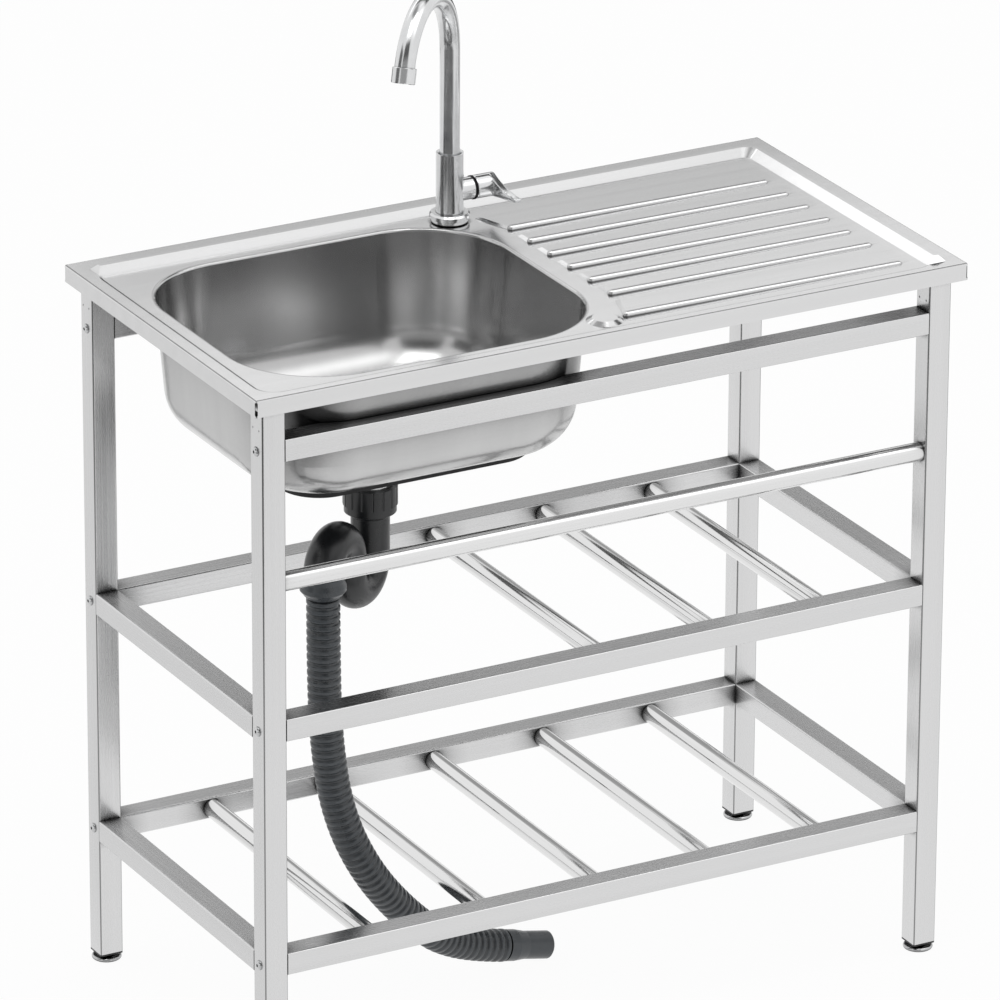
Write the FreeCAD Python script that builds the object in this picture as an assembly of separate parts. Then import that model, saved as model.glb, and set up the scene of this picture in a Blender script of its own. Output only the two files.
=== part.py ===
import FreeCAD, Part
import math
import os

# Freestanding utility sink: pressed steel worktop with bowl and drainboard on a tube stand, with faucet and waste.
# The origin is on the floor under the middle of the worktop, X to the right, Y to the back, Z up, millimetres.

V = FreeCAD.Vector
OUT = "parts"

# General values
overrun = 2.0
running_gap = 0.08
slip_gap = 0.25
clear_gap = 0.3
full_turn = 360.0
quarter_turn = 90.0

# Worktop
deck_width = 850.0
deck_depth = 446.0
deck_height = 806.0
sheet = 1.0
skirt_height = 19.0
deck_edge_radius = 2.0
skirt_return = 8.0
relief_width = 3.2
relief_margin = 1.8
recess_depth = 1.0
recess_slope = 3.0
recess_from_left = 15.0
recess_from_front = 11.0
recess_corner = 24.0

# Raised ridge along the back and the right side of the worktop
ridge_height = 6.0
ridge_width = 24.0
ridge_inner_slope = 12.0
ridge_outer_slope = 7.0
ridge_end_slope = 8.0
ridge_from_back = 24.0
ridge_from_right = 17.0
ridge_from_left = 17.0
ridge_from_front = 15.0
ridge_outer_radius = 24.0
ridge_inner_radius = 8.0

# Drainboard ribs and the sloping plateaus behind them
rib_count = 6
rib_pitch = 44.0
rib_first_from_back = 127.0
rib_last_from_front = 36.5
rib_radius = 4.2
rib_rise = 2.8
rib_left_from_bowl = 27.55
rib_last_left_from_bowl = 10.55
rib_right_from_right = 65.0
plateau_height = 2.5
plateau_slope = 4.0
plateau_depth = 24.0
plateau_first_depth = 47.0
plateau_last_depth = 45.0
plateau_skew = 15.0
plateau_right_from_right = 49.0

# Round boss between the bowl and the drainboard
boss_from_rim = 22.3673
boss_bearing = 45.32883
boss_base_radius = 20.0
boss_top_radius = 13.5
boss_height = 3.5

# Bowl
bowl_from_left = 31.95
bowl_from_front = 21.0
bowl_from_back = 64.0
bowl_rim_width = 411.5
bowl_rim_radius = 107.0
bowl_lip_radius = 3.0
bowl_lip_flat = 1.0
bowl_depth = 149.0
bowl_draft = 13.0
bowl_floor_radius = 48.0
pad_thickness = 10.0
pad_overhang = 2.0

# Stand
post_size = 27.0
post_wall = 1.5
tube_corner = 2.0
post_inset_x = 13.0
post_inset_y = 12.0
leg_bottom = 10.0
rail_height = 25.0
rail_wall = 1.2
lower_rail_level = 158.0
upper_rail_level = 426.0
apron_rail_drop = 66.5
rod_diameter = 21.0
rod_wall = 1.5
rod_bay_count = 6
lower_rod_count = 5
upper_rod_count = 3
towel_bar_drop = 217.0
socket_plate = 2.0
socket_length = 45.0
socket_wall = 2.0
dimple_drop = 42.0
dimple_spread = 13.5
dimple_radius = 1.6
dimple_depth = 0.7
notch_gap = 1.0

# Frame bolts and the threaded inserts in the rail ends
bolt_radius = 2.5
bolt_head_radius = 5.4
bolt_head_height = 3.2
insert_length = 16.0

# Feet and the plugs in the leg ends
plug_length = 26.0
plug_flange = 2.0
foot_radius = 16.5
foot_edge = 2.6
foot_dish = 4.6
foot_hub_radius = 6.0
foot_stud_radius = 4.0
foot_stud_length = 44.0

# Waste fitting in the bowl
drain_flange_radius = 56.0
drain_flange_rise = 2.2
drain_mouth_radius = 43.0
drain_cup_radius = 40.0
drain_wall = 1.5
drain_seat_drop = 9.0
drain_seat_step = 2.4
drain_cup_depth = 43.3
drain_cup_taper = 10.0
drain_stub_radius = 24.0
drain_stub_length = 20.0
drain_seal_width = 11.0
drain_locknut_height = 6.0
drain_locknut_lugs = 8
drain_lug_width = 6.0
basket_wall = 1.2
basket_rim = 4.0
basket_depth = 26.0
basket_taper = 3.0
basket_hole_radius = 2.2
basket_outer_holes = 16
basket_inner_holes = 8
basket_post_radius = 2.5
basket_knob_radius = 6.5

# Trap
nut_radius = 29.5
nut_height = 21.5
nut_overlap = 15.0
nut_flutes = 16
nut_flute_radius = 1.6
trap_seal_height = 2.0
trap_radius = 21.0
trap_wall = 2.5
trap_collar_radius = 28.2
trap_collar_height = 8.0
trap_collar_taper = 5.0
trap_leg_spacing = 54.0
trap_dip = 108.5
trap_rise = 17.5
trap_outlet = 21.0
trap_heading_x_share = -0.82
trap_heading_y_share = -0.572

# Outlet cuff, ribbed drain hose and its end cuff
cuff_height = 24.0
cuff_grip = 21.0
cuff_ring_radius = 25.0
cuff_neck_radius = 22.8
cuff_ring_height = 5.0
cuff_taper = 8.0
hose_crest_radius = 18.2
hose_root_radius = 15.8
hose_bore_radius = 13.6
hose_rib_pitch = 9.0
hose_crest_share = 0.42
hose_flank_share = 0.14
end_cuff_length = 59.0
end_cuff_big_radius = 17.5
end_cuff_small_radius = 15.5
end_cuff_collar = 12.0
end_cuff_taper = 14.0
end_cuff_edge = 1.5

# Route of the hose below its upper end, chosen by hand
hose_route = [
    (-275.8, -83.3, 425.0),
    (-272.8, -83.5, 337.0),
    (-258.8, -83.5, 252.7),
    (-223.8, -81.5, 176.7),
    (-164.8, -66.0, 104.7),
    (-98.0, -43.4, 46.5),
    (-31.5, -36.5, 30.0),
]

# Faucet
faucet_from_rim = 24.6562
faucet_bearing = 47.90928
base_gasket = 1.5
base_radius = 22.0
base_step_radius = 20.0
base_step_height = 4.0
base_height = 10.0
base_round = 2.0
body_radius = 15.0
body_height = 79.0
body_mouth_radius = 13.6
body_mouth_depth = 4.0
body_socket_depth = 30.0
water_bore_radius = 7.0
shank_radius = 10.4
shank_length = 52.0
shank_hole_gap = 0.8
shank_relief = 2.0
shank_relief_depth = 0.6
washer_radius = 18.0
washer_height = 2.5
locknut_flats = 28.0
locknut_height = 9.0
spout_radius = 11.0
spout_wall = 1.5
spout_engagement = 28.0
spout_sleeve_length = 20.0
spout_sleeve_wall = 1.3
spout_arch_radius = 75.8
spout_arch_angle = 160.5
spout_arch_level = 1003.4
spout_tail = 8.0
spout_heading_x_share = -0.7327
spout_heading_y_share = -0.6805
aerator_radius = 12.9
aerator_length = 17.0
aerator_grip = 8.0
aerator_lip = 1.2
aerator_insert_height = 3.0
aerator_holes = 12
aerator_hole_radius = 1.0

# Side valve and lever handle
stub_level = 34.0
stub_radius = 12.4
stub_reach = 26.0
stem_ring_width = 2.2
stem_ring_radius = 13.2
spindle_radius = 6.0
spindle_inner = 16.0
hub_radius = 13.0
hub_length = 18.0
lever_thickness = 8.0
lever_reach = 61.0
lever_tip = 2.2
lever_waist = 24.0
lever_waist_top = 5.5
lever_waist_bottom = 8.0
lever_dish_margin = 3.0
lever_dish_depth = 1.6
screw_radius = 2.0
screw_head_radius = 4.2
screw_head_height = 2.4
screw_length = 14.0

# Places that follow from the sizes above
half_width = deck_width / 2
half_depth = deck_depth / 2
work_level = deck_height - recess_depth
under_level = work_level - sheet
bowl_rim_depth = deck_depth - bowl_from_front - bowl_from_back
bowl_right = bowl_from_left + bowl_rim_width - half_width
bowl_x = bowl_right - bowl_rim_width / 2
bowl_y = (bowl_from_front - bowl_from_back) / 2
corner_x = bowl_right - bowl_rim_radius
corner_reach_y = bowl_rim_depth / 2 - bowl_rim_radius
faucet_reach = bowl_rim_radius + faucet_from_rim
faucet_x = corner_x + faucet_reach * math.cos(math.radians(faucet_bearing))
faucet_y = bowl_y + corner_reach_y + faucet_reach * math.sin(math.radians(faucet_bearing))
boss_reach = bowl_rim_radius + boss_from_rim
boss_x = corner_x + boss_reach * math.cos(math.radians(boss_bearing))
boss_y = bowl_y - corner_reach_y - boss_reach * math.sin(math.radians(boss_bearing))
apron_rail_level = deck_height - apron_rail_drop
towel_bar_level = deck_height - towel_bar_drop
dimple_level = deck_height - dimple_drop
post_outer_x = half_width - post_inset_x
post_outer_y = half_depth - post_inset_y
post_inner_x = post_outer_x - post_size
post_inner_y = post_outer_y - post_size
post_centre_x = post_outer_x - post_size / 2
post_centre_y = post_outer_y - post_size / 2
post_top = under_level - socket_plate
rod_radius = rod_diameter / 2
floor_level = work_level - bowl_depth
bowl_bottom = floor_level - sheet


def box(x0, x1, y0, y1, z0, z1):
    """Box between two corners."""
    return Part.makeBox(x1 - x0, y1 - y0, z1 - z0, V(x0, y0, z0))


def rounded_wire(width, depth, radius, cx, cy, z):
    """Rounded rectangle lying flat at height z."""
    hx = width / 2
    hy = depth / 2
    k = radius * math.sqrt(0.5)
    edges = []
    corners = [(1, -1), (1, 1), (-1, 1), (-1, -1)]
    spots = []
    for sx, sy in corners:
        mx = cx + sx * (hx - radius)
        my = cy + sy * (hy - radius)
        along_x = V(mx, cy + sy * hy, z)
        along_y = V(cx + sx * hx, my, z)
        mid = V(mx + sx * k, my + sy * k, z)
        first, last = (along_x, along_y) if sx * sy < 0 else (along_y, along_x)
        spots.append((first, mid, last))
    for i, (first, mid, last) in enumerate(spots):
        edges.append(Part.Arc(first, mid, last).toShape())
        after = spots[(i + 1) % len(spots)][0]
        edges.append(Part.LineSegment(last, after).toShape())
    return Part.Wire(edges)


def rounded_prism(width, depth, radius, cx, cy, z0, z1):
    """Upright prism on a rounded rectangle."""
    face = Part.Face(rounded_wire(width, depth, radius, cx, cy, z0))
    return face.extrude(V(0, 0, z1 - z0))


def polygon_face(points):
    """Flat face through corner points."""
    return Part.Face(Part.makePolygon(points + [points[0]]))


def turned(profile, cx=0.0, cy=0.0):
    """Solid turned about an upright axis from (radius, height) corners."""
    face = polygon_face([V(cx + r, cy, z) for r, z in profile])
    return face.revolve(V(cx, cy, 0), V(0, 0, 1), full_turn)


def cylinder(radius, start, end):
    """Round bar between two points."""
    run = end - start
    return Part.makeCylinder(radius, run.Length, start, run)


def ring(outer, inner, cx, cy, z0, z1):
    """Flat ring between two heights."""
    return cylinder(outer, V(cx, cy, z0), V(cx, cy, z1)).cut(
        cylinder(inner, V(cx, cy, z0 - overrun), V(cx, cy, z1 + overrun)))


def swept(radius, path):
    """Round bar along a wire of lines and arcs."""
    start = path.OrderedEdges[0]
    point = start.valueAt(start.FirstParameter)
    heading = start.tangentAt(start.FirstParameter)
    circle = Part.Wire(Part.makeCircle(radius, point, heading))
    return path.makePipeShell([circle], True, False)


def fuse(shapes):
    """One solid from overlapping shapes."""
    return shapes[0].multiFuse(shapes[1:]).removeSplitter()


def mirrored_four(make):
    """The same piece at the four corners, made by a function of the corner's signs."""
    return [make(sx, sy) for sx in (-1, 1) for sy in (-1, 1)]


def save(name, shape):
    """Write one piece to its file, as separate solids if it is a list."""
    if isinstance(shape, list):
        shape = Part.makeCompound(shape)
    if not shape.isValid():
        print("not valid:", name)
    shape.exportStep(os.path.join(OUT, name + ".step"))
    print("%-22s %3d solids %12.1f mm3" % (name, len(shape.Solids), shape.Volume))


# Worktop


def ridge_solid(drop):
    """L-shaped ridge with sloping sides, lowered by drop."""
    left = -half_width + ridge_from_left
    front = -half_depth + ridge_from_front
    right = half_width - ridge_from_right
    back = half_depth - ridge_from_back
    base = work_level - drop
    top = deck_height + ridge_height - drop

    def outline(z, inner, outer, end):
        xi = right - ridge_width + inner
        xo = right - outer
        yi = back - ridge_width + inner
        yo = back - outer
        ro = ridge_outer_radius - outer
        ri = ridge_inner_radius + inner / 2
        k = math.sqrt(0.5)
        a = V(left + end, yi, z)
        b = V(xi - ri, yi, z)
        b_mid = V(xi - ri + ri * k, yi - ri + ri * k, z)
        c = V(xi, yi - ri, z)
        d = V(xi, front + end, z)
        e = V(xo, front + end, z)
        f = V(xo, yo - ro, z)
        f_mid = V(xo - ro + ro * k, yo - ro + ro * k, z)
        g = V(xo - ro, yo, z)
        h = V(left + end, yo, z)
        return Part.Wire([
            Part.LineSegment(a, b).toShape(), Part.Arc(b, b_mid, c).toShape(),
            Part.LineSegment(c, d).toShape(), Part.LineSegment(d, e).toShape(),
            Part.LineSegment(e, f).toShape(), Part.Arc(f, f_mid, g).toShape(),
            Part.LineSegment(g, h).toShape(), Part.LineSegment(h, a).toShape()])

    low = outline(base, 0, 0, 0)
    high = outline(top, ridge_inner_slope, ridge_outer_slope, ridge_end_slope)
    return Part.makeLoft([low, high], True, True)


def recess_solid(drop):
    """Shallow working area with a sloping edge, lowered by drop."""
    x0 = -half_width + recess_from_left
    x1 = half_width - ridge_from_right - ridge_width / 2
    y0 = -half_depth + recess_from_front
    y1 = half_depth - ridge_from_back - ridge_width / 2
    cx = (x0 + x1) / 2
    cy = (y0 + y1) / 2
    rise = overrun * recess_slope / recess_depth
    high = rounded_wire(x1 - x0 + 2 * rise, y1 - y0 + 2 * rise, recess_corner + rise, cx, cy,
                        deck_height + overrun - drop)
    low = rounded_wire(x1 - x0 - 2 * recess_slope, y1 - y0 - 2 * recess_slope,
                       recess_corner - recess_slope, cx, cy, work_level - drop)
    return Part.makeLoft([low, high], True, True)


plateau_left = bowl_right + rib_left_from_bowl
plateau_right = half_width - plateau_right_from_right


def plateau_level(x):
    """Height of the plateau surface, which runs out to the right."""
    return work_level + plateau_height * (plateau_right - x) / (plateau_right - plateau_left)


def plateau_solid(front, depth, front_left, back_left, drop):
    """Flat wedge behind a rib, with sloping left and back faces."""
    back = front + depth
    down = V(0, 0, -drop)
    a = V(front_left - plateau_slope, front, work_level) + down
    b = V(back_left - plateau_slope, back, work_level) + down
    c = V(plateau_right, front, work_level) + down
    d = V(plateau_right, back, work_level) + down
    e = V(front_left, front, plateau_level(front_left)) + down
    f = V(back_left, back - plateau_slope, plateau_level(back_left)) + down
    faces = [polygon_face(p) for p in ([a, c, d, b], [a, b, f], [a, f, e], [e, f, d, c], [b, d, f], [a, e, c])]
    solid = Part.Solid(Part.Shell(faces))
    if solid.Volume < 0:
        solid.reverse()
    return solid


rib_y = [half_depth - rib_first_from_back - i * rib_pitch for i in range(rib_count)]
rib_last_y = -half_depth + rib_last_from_front
rib_rows = [(y, plateau_left, plateau_depth, plateau_left) for y in rib_y[1:]]
rib_rows.insert(0, (rib_y[0], plateau_left, plateau_first_depth, plateau_left - plateau_skew))
rib_last_left = bowl_right + rib_last_left_from_bowl
rib_rows.append((rib_last_y, rib_last_left, plateau_last_depth, rib_last_left + plateau_skew))


def rib_solids(shrink):
    """Round ribs along the front edges of the plateaus, thinner by shrink."""
    sink = rib_radius - rib_rise
    right = half_width - rib_right_from_right
    solids = []
    for y, left, depth, back_left in rib_rows:
        start = V(left, y, plateau_level(left) - sink)
        end = V(right, y, plateau_level(right) - sink)
        bar = cylinder(rib_radius - shrink, start, end)
        ends = [Part.makeSphere(rib_radius - shrink, p) for p in (start, end)]
        solids.append(fuse([bar] + ends))
    return solids


def boss_solid(drop):
    """Low round boss with sloping sides."""
    return Part.makeCone(boss_base_radius, boss_top_radius, boss_height, V(boss_x, boss_y, work_level - drop))


def deck_form(drop, inset, shrink, depth):
    """Closed form under one face of the pressed sheet."""
    form = box(-half_width + inset, half_width - inset, -half_depth + inset, half_depth - inset,
               deck_height - skirt_height - depth, deck_height - drop)
    round_edges = [e for e in form.Edges if e.BoundBox.ZMax > deck_height - drop - sheet]
    form = form.makeFillet(deck_edge_radius - inset, round_edges)
    form = form.cut(recess_solid(drop))
    bumps = [ridge_solid(drop), boss_solid(drop)]
    bumps += [plateau_solid(y, depth_y, left, back_left, drop) for y, left, depth_y, back_left in rib_rows]
    bumps += rib_solids(shrink)
    return form.multiFuse(bumps)


def relief_slot(sx, sy):
    """Upright slot with round ends through a corner of the skirt."""
    low = deck_height - skirt_height + relief_margin + relief_width / 2
    high = deck_height - deck_edge_radius - relief_margin
    reach = V(sx, sy, 0) * (deck_edge_radius + sheet + overrun)
    bottom = V(sx * half_width, sy * half_depth, low)
    top = V(sx * half_width, sy * half_depth, high)
    cut = [cylinder(relief_width / 2, p - reach, p + reach) for p in (bottom, top)]
    side = V(-sy, sx, 0).normalize() * (relief_width / 2)
    face = polygon_face([bottom - reach - side, bottom - reach + side, top - reach + side, top - reach - side])
    return fuse(cut + [face.extrude(reach * 2)])


def worktop():
    """Pressed worktop with skirt, return, ridge, drainboard, cut-out and faucet hole."""
    skin = deck_form(0, 0, 0, 0)
    void = deck_form(sheet, sheet, sheet, overrun)
    bottom = deck_height - skirt_height
    lip = box(-half_width + sheet / 2, half_width - sheet / 2, -half_depth + sheet / 2, half_depth - sheet / 2,
              bottom, bottom + sheet)
    inner = sheet + skirt_return
    lip = lip.cut(box(-half_width + inner, half_width - inner, -half_depth + inner, half_depth - inner,
                      bottom - overrun, bottom + sheet + overrun))
    shape = skin.cut(void).fuse(lip)
    opening = rounded_prism(bowl_rim_width + 2 * bowl_lip_flat, bowl_rim_depth + 2 * bowl_lip_flat,
                            bowl_rim_radius + bowl_lip_flat, bowl_x, bowl_y,
                            under_level - overrun, deck_height + overrun)
    hole = cylinder(shank_radius + shank_hole_gap, V(faucet_x, faucet_y, under_level - overrun),
                    V(faucet_x, faucet_y, deck_height + overrun))
    shape = shape.cut([opening, hole] + mirrored_four(relief_slot))
    return shape.removeSplitter()


# Bowl


def bowl_form(outset, floor_level_z, floor_radius):
    """Drafted bowl form with rounded corners and a rounded floor edge."""
    width = bowl_rim_width - 2 * bowl_lip_radius + 2 * outset
    depth = bowl_rim_depth - 2 * bowl_lip_radius + 2 * outset
    radius = bowl_rim_radius - bowl_lip_radius + outset
    high = rounded_wire(width, depth, radius, bowl_x, bowl_y, work_level)
    low = rounded_wire(width - 2 * bowl_draft, depth - 2 * bowl_draft, radius - bowl_draft,
                       bowl_x, bowl_y, floor_level_z)
    form = Part.makeLoft([low, high], True, True)
    floor_edges = [e for e in form.Edges if e.BoundBox.ZMax < floor_level_z + overrun]
    return form.makeFillet(floor_radius, floor_edges)


def level_edges(shape, z):
    """Edges lying at height z, inside the rim of the bowl."""
    found = []
    for edge in shape.Edges:
        b = edge.BoundBox
        flat = abs(b.ZMin - z) < sheet / 4 and abs(b.ZMax - z) < sheet / 4
        reach_x = max(abs(b.XMin - bowl_x), abs(b.XMax - bowl_x))
        reach_y = max(abs(b.YMin - bowl_y), abs(b.YMax - bowl_y))
        if flat and reach_x < bowl_rim_width / 2 and reach_y < bowl_rim_depth / 2:
            found.append(edge)
    return found


def bowl():
    """Pressed bowl with a rolled lip, open at the waste hole."""
    flange_width = bowl_rim_width + 2 * bowl_lip_flat
    flange = rounded_prism(flange_width, bowl_rim_depth + 2 * bowl_lip_flat, bowl_rim_radius + bowl_lip_flat,
                           bowl_x, bowl_y, under_level, work_level)
    outer = flange.fuse(bowl_form(sheet, bowl_bottom, bowl_floor_radius + sheet)).removeSplitter()
    outer = outer.makeFillet(bowl_lip_radius - sheet, level_edges(outer, under_level))
    cover = rounded_prism(flange_width + 2 * overrun, bowl_rim_depth + 2 * bowl_lip_flat + 2 * overrun,
                          bowl_rim_radius, bowl_x, bowl_y, work_level, work_level + bowl_lip_radius)
    void = cover.fuse(bowl_form(0, floor_level, bowl_floor_radius)).removeSplitter()
    void = void.makeFillet(bowl_lip_radius, level_edges(void, work_level))
    hole = cylinder(drain_cup_radius + slip_gap, V(bowl_x, bowl_y, bowl_bottom - overrun),
                    V(bowl_x, bowl_y, floor_level + overrun))
    return outer.cut(void).cut(hole)


def sound_pad():
    """Damping pad stuck under the flat of the bowl floor."""
    inset = bowl_lip_radius + bowl_draft + bowl_floor_radius - pad_overhang
    hole = drain_cup_radius + drain_seal_width + 2 * clear_gap
    pad = rounded_prism(bowl_rim_width - 2 * inset, bowl_rim_depth - 2 * inset, bowl_rim_radius - inset,
                        bowl_x, bowl_y, bowl_bottom - pad_thickness, bowl_bottom)
    return pad.cut(cylinder(hole, V(bowl_x, bowl_y, bowl_bottom - pad_thickness - overrun),
                            V(bowl_x, bowl_y, bowl_bottom + overrun)))


# Stand


def square_tube(length, width, height, wall):
    """Square tube along X from the origin, centred on the axis."""
    tube = rounded_prism(width, height, tube_corner, 0, 0, 0, length)
    tube = tube.cut(rounded_prism(width - 2 * wall, height - 2 * wall, tube_corner - wall / 2, 0, 0,
                                  -overrun, length + overrun))
    tube.rotate(V(0, 0, 0), V(0, 1, 0), quarter_turn)
    tube.rotate(V(0, 0, 0), V(1, 0, 0), quarter_turn)
    return tube


bolt_levels = (lower_rail_level, upper_rail_level, apron_rail_level)
bolt_hole_radius = bolt_radius + slip_gap


def post(sx, sy):
    """Leg post with bolt holes, a towel-bar hole at the front and dimples near its top."""
    tube = square_tube(post_top - leg_bottom, post_size, post_size, post_wall)
    tube.rotate(V(0, 0, 0), V(0, 1, 0), -quarter_turn)
    tube.translate(V(sx * post_centre_x, sy * post_centre_y, leg_bottom))
    cuts = []
    for z in bolt_levels:
        cuts.append(cylinder(bolt_hole_radius, V(sx * (post_inner_x - overrun), sy * post_centre_y, z),
                             V(sx * (post_outer_x + overrun), sy * post_centre_y, z)))
    if sy < 0:
        cuts.append(cylinder(rod_radius + slip_gap, V(sx * (post_inner_x - overrun), sy * post_centre_y, towel_bar_level),
                             V(sx * post_centre_x, sy * post_centre_y, towel_bar_level)))
    for face_x, out in ((post_outer_x, 1), (post_inner_x, -1)):
        for side in (-1, 1):
            spot = V(sx * (face_x + out * (dimple_radius - dimple_depth)),
                     sy * post_centre_y + side * dimple_spread / 2, dimple_level)
            cuts.append(Part.makeSphere(dimple_radius, spot))
    return tube.cut(cuts)


def long_rail(sy, level, rod_xs):
    """Front or rear rail between the posts, with holes for the rods in its inner wall."""
    tube = square_tube(2 * post_inner_x, post_size, rail_height, rail_wall)
    tube.translate(V(-post_inner_x, sy * post_centre_y, level))
    cuts = []
    for x in rod_xs:
        cuts.append(cylinder(rod_radius + slip_gap, V(x, sy * (post_inner_y - overrun), level),
                             V(x, sy * post_centre_y, level)))
    return tube.cut(cuts) if cuts else tube


def bowl_notch(level):
    """Cut that follows the bowl, so that the front apron rail passes in front of it."""
    top = level + rail_height / 2
    shrink = bowl_lip_radius - sheet + bowl_draft * (work_level - top) / (bowl_depth + sheet) - notch_gap
    width = bowl_rim_width - 2 * shrink
    depth = bowl_rim_depth - 2 * shrink
    return rounded_prism(width, depth, bowl_rim_radius - shrink, bowl_x, bowl_y, level - rail_height, level + rail_height)


def side_rail(sx, level):
    """Side rail welded between a front and a rear post."""
    tube = square_tube(2 * post_inner_y, post_size, rail_height, rail_wall)
    tube.rotate(V(0, 0, 0), V(0, 0, 1), quarter_turn)
    tube.translate(V(sx * post_centre_x, -post_inner_y, level))
    return tube


def round_tube(start, end):
    """Rod or towel bar."""
    run = (end - start).normalize() * overrun
    return cylinder(rod_radius, start, end).cut(cylinder(rod_radius - rod_wall, start - run, end + run))


def shelf_rod(x, level):
    """Shelf rod that reaches through the inner walls of the front and rear rails."""
    reach = post_outer_y - rail_wall - slip_gap
    return round_tube(V(x, -reach, level), V(x, reach, level))


rod_pitch = 2 * post_outer_x / rod_bay_count
lower_rod_x = [(i - (lower_rod_count - 1) / 2) * rod_pitch for i in range(lower_rod_count)]
upper_rod_x = lower_rod_x[lower_rod_count - upper_rod_count:]


def frame_bolt(sx, sy, z):
    """Dome-headed bolt through a post into the rail end."""
    y = sy * post_centre_y
    face = V(sx * post_outer_x, y, z)
    shank = cylinder(bolt_radius, face, V(sx * (post_inner_x - insert_length), y, z))
    dome_radius = (bolt_head_radius ** 2 + bolt_head_height ** 2) / (2 * bolt_head_height)
    dome = Part.makeSphere(dome_radius, face + V(sx * (bolt_head_height - dome_radius), 0, 0))
    half = box(min(0, sx) * 2 * dome_radius, max(0, sx) * 2 * dome_radius, -dome_radius, dome_radius,
               -dome_radius, dome_radius)
    half.translate(face)
    return fuse([dome.common(half), shank])


def rail_insert(sx, sy, z):
    """Threaded insert pressed into a rail end."""
    width = post_size - 2 * rail_wall - 2 * slip_gap
    height = rail_height - 2 * rail_wall - 2 * slip_gap
    x0 = sx * (post_inner_x - slip_gap)
    x1 = sx * (post_inner_x - insert_length)
    y = sy * post_centre_y
    block = box(min(x0, x1), max(x0, x1), y - width / 2, y + width / 2, z - height / 2, z + height / 2)
    edges = [e for e in block.Edges if abs(e.tangentAt(e.FirstParameter).x) > 0.5]
    block = block.makeChamfer(tube_corner / 2, edges)
    return block.cut(cylinder(bolt_radius + running_gap, V(x0 + sx * overrun, y, z), V(x1 - sx * overrun, y, z)))


def corner_socket(sx, sy):
    """Square socket under the worktop that plugs into the top of a post."""
    size = post_size - 2 * post_wall - 2 * slip_gap
    tube = square_tube(socket_length, size, size, socket_wall)
    tube.rotate(V(0, 0, 0), V(0, 1, 0), quarter_turn)
    tube.translate(V(sx * post_centre_x, sy * post_centre_y, post_top))
    plate = box(-post_size / 2, post_size / 2, -post_size / 2, post_size / 2, post_top, under_level)
    plate.translate(V(sx * post_centre_x, sy * post_centre_y, 0))
    return fuse([tube, plate])


def leg_plug(sx, sy):
    """Plastic plug in the leg end with a threaded hole for the foot."""
    x = sx * post_centre_x
    y = sy * post_centre_y
    size = post_size - 2 * post_wall - 2 * slip_gap
    body = rounded_prism(size, size, tube_corner, x, y, leg_bottom, leg_bottom + plug_length)
    flange = rounded_prism(post_size, post_size, tube_corner, x, y, leg_bottom - plug_flange, leg_bottom)
    hole = cylinder(foot_stud_radius + running_gap, V(x, y, leg_bottom - plug_flange - overrun),
                    V(x, y, leg_bottom + plug_length + overrun))
    return fuse([body, flange]).cut(hole)


def foot(sx, sy):
    """Adjustable foot: dished disc with a hub and a stud."""
    top = leg_bottom - plug_flange - clear_gap
    profile = [
        (0, 0), (foot_radius - foot_edge, 0), (foot_radius - foot_edge / 4, foot_edge / 3), (foot_radius, foot_edge),
        (foot_radius - foot_edge / 3, foot_dish), (foot_hub_radius + foot_edge, foot_dish - foot_edge / 3),
        (foot_hub_radius, foot_dish), (foot_hub_radius, top), (foot_stud_radius, top),
        (foot_stud_radius, foot_stud_length), (0, foot_stud_length)]
    return turned(profile, sx * post_centre_x, sy * post_centre_y)


# Waste fitting


cup_bottom = floor_level - drain_cup_depth
stub_top = cup_bottom - drain_cup_taper
stub_bottom = stub_top - drain_stub_length
seat_level = floor_level - drain_seat_drop


def drain_body():
    """Waste cup with its flange in the bowl, a seat for the basket and an outlet stub."""
    f = floor_level
    r = drain_cup_radius
    w = drain_wall
    seat_r = r - w - drain_seat_step
    profile = [
        (drain_flange_radius, f), (drain_flange_radius - w, f + drain_flange_rise / 2),
        (drain_mouth_radius + 2 * w, f + drain_flange_rise), (drain_mouth_radius, f + drain_flange_rise),
        (r - w, f - w), (r - w, seat_level), (seat_r, seat_level), (seat_r, cup_bottom),
        (drain_stub_radius - w, stub_top), (drain_stub_radius - w, stub_bottom),
        (drain_stub_radius, stub_bottom), (drain_stub_radius, stub_top - w),
        (r - w, cup_bottom - w), (r, cup_bottom + w), (r, f)]
    return turned(profile, bowl_x, bowl_y)


def drain_seal():
    """Rubber ring between the bowl and the locknut."""
    return ring(drain_cup_radius + drain_seal_width, drain_cup_radius + slip_gap, bowl_x, bowl_y,
                bowl_bottom - pad_thickness, bowl_bottom)


def drain_locknut():
    """Ring nut with lugs that pulls the waste fitting tight."""
    top = bowl_bottom - pad_thickness
    outer = drain_cup_radius + drain_seal_width - drain_wall
    nut = ring(outer, drain_cup_radius + slip_gap, bowl_x, bowl_y, top - drain_locknut_height, top)
    cuts = []
    for i in range(drain_locknut_lugs):
        notch = box(outer - 2 * drain_wall, outer + overrun, -drain_lug_width / 2, drain_lug_width / 2,
                    top - drain_locknut_height - overrun, top - drain_locknut_height / 2)
        notch.rotate(V(0, 0, 0), V(0, 0, 1), full_turn * i / drain_locknut_lugs)
        notch.translate(V(bowl_x, bowl_y, 0))
        cuts.append(notch)
    return nut.cut(cuts)


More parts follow.
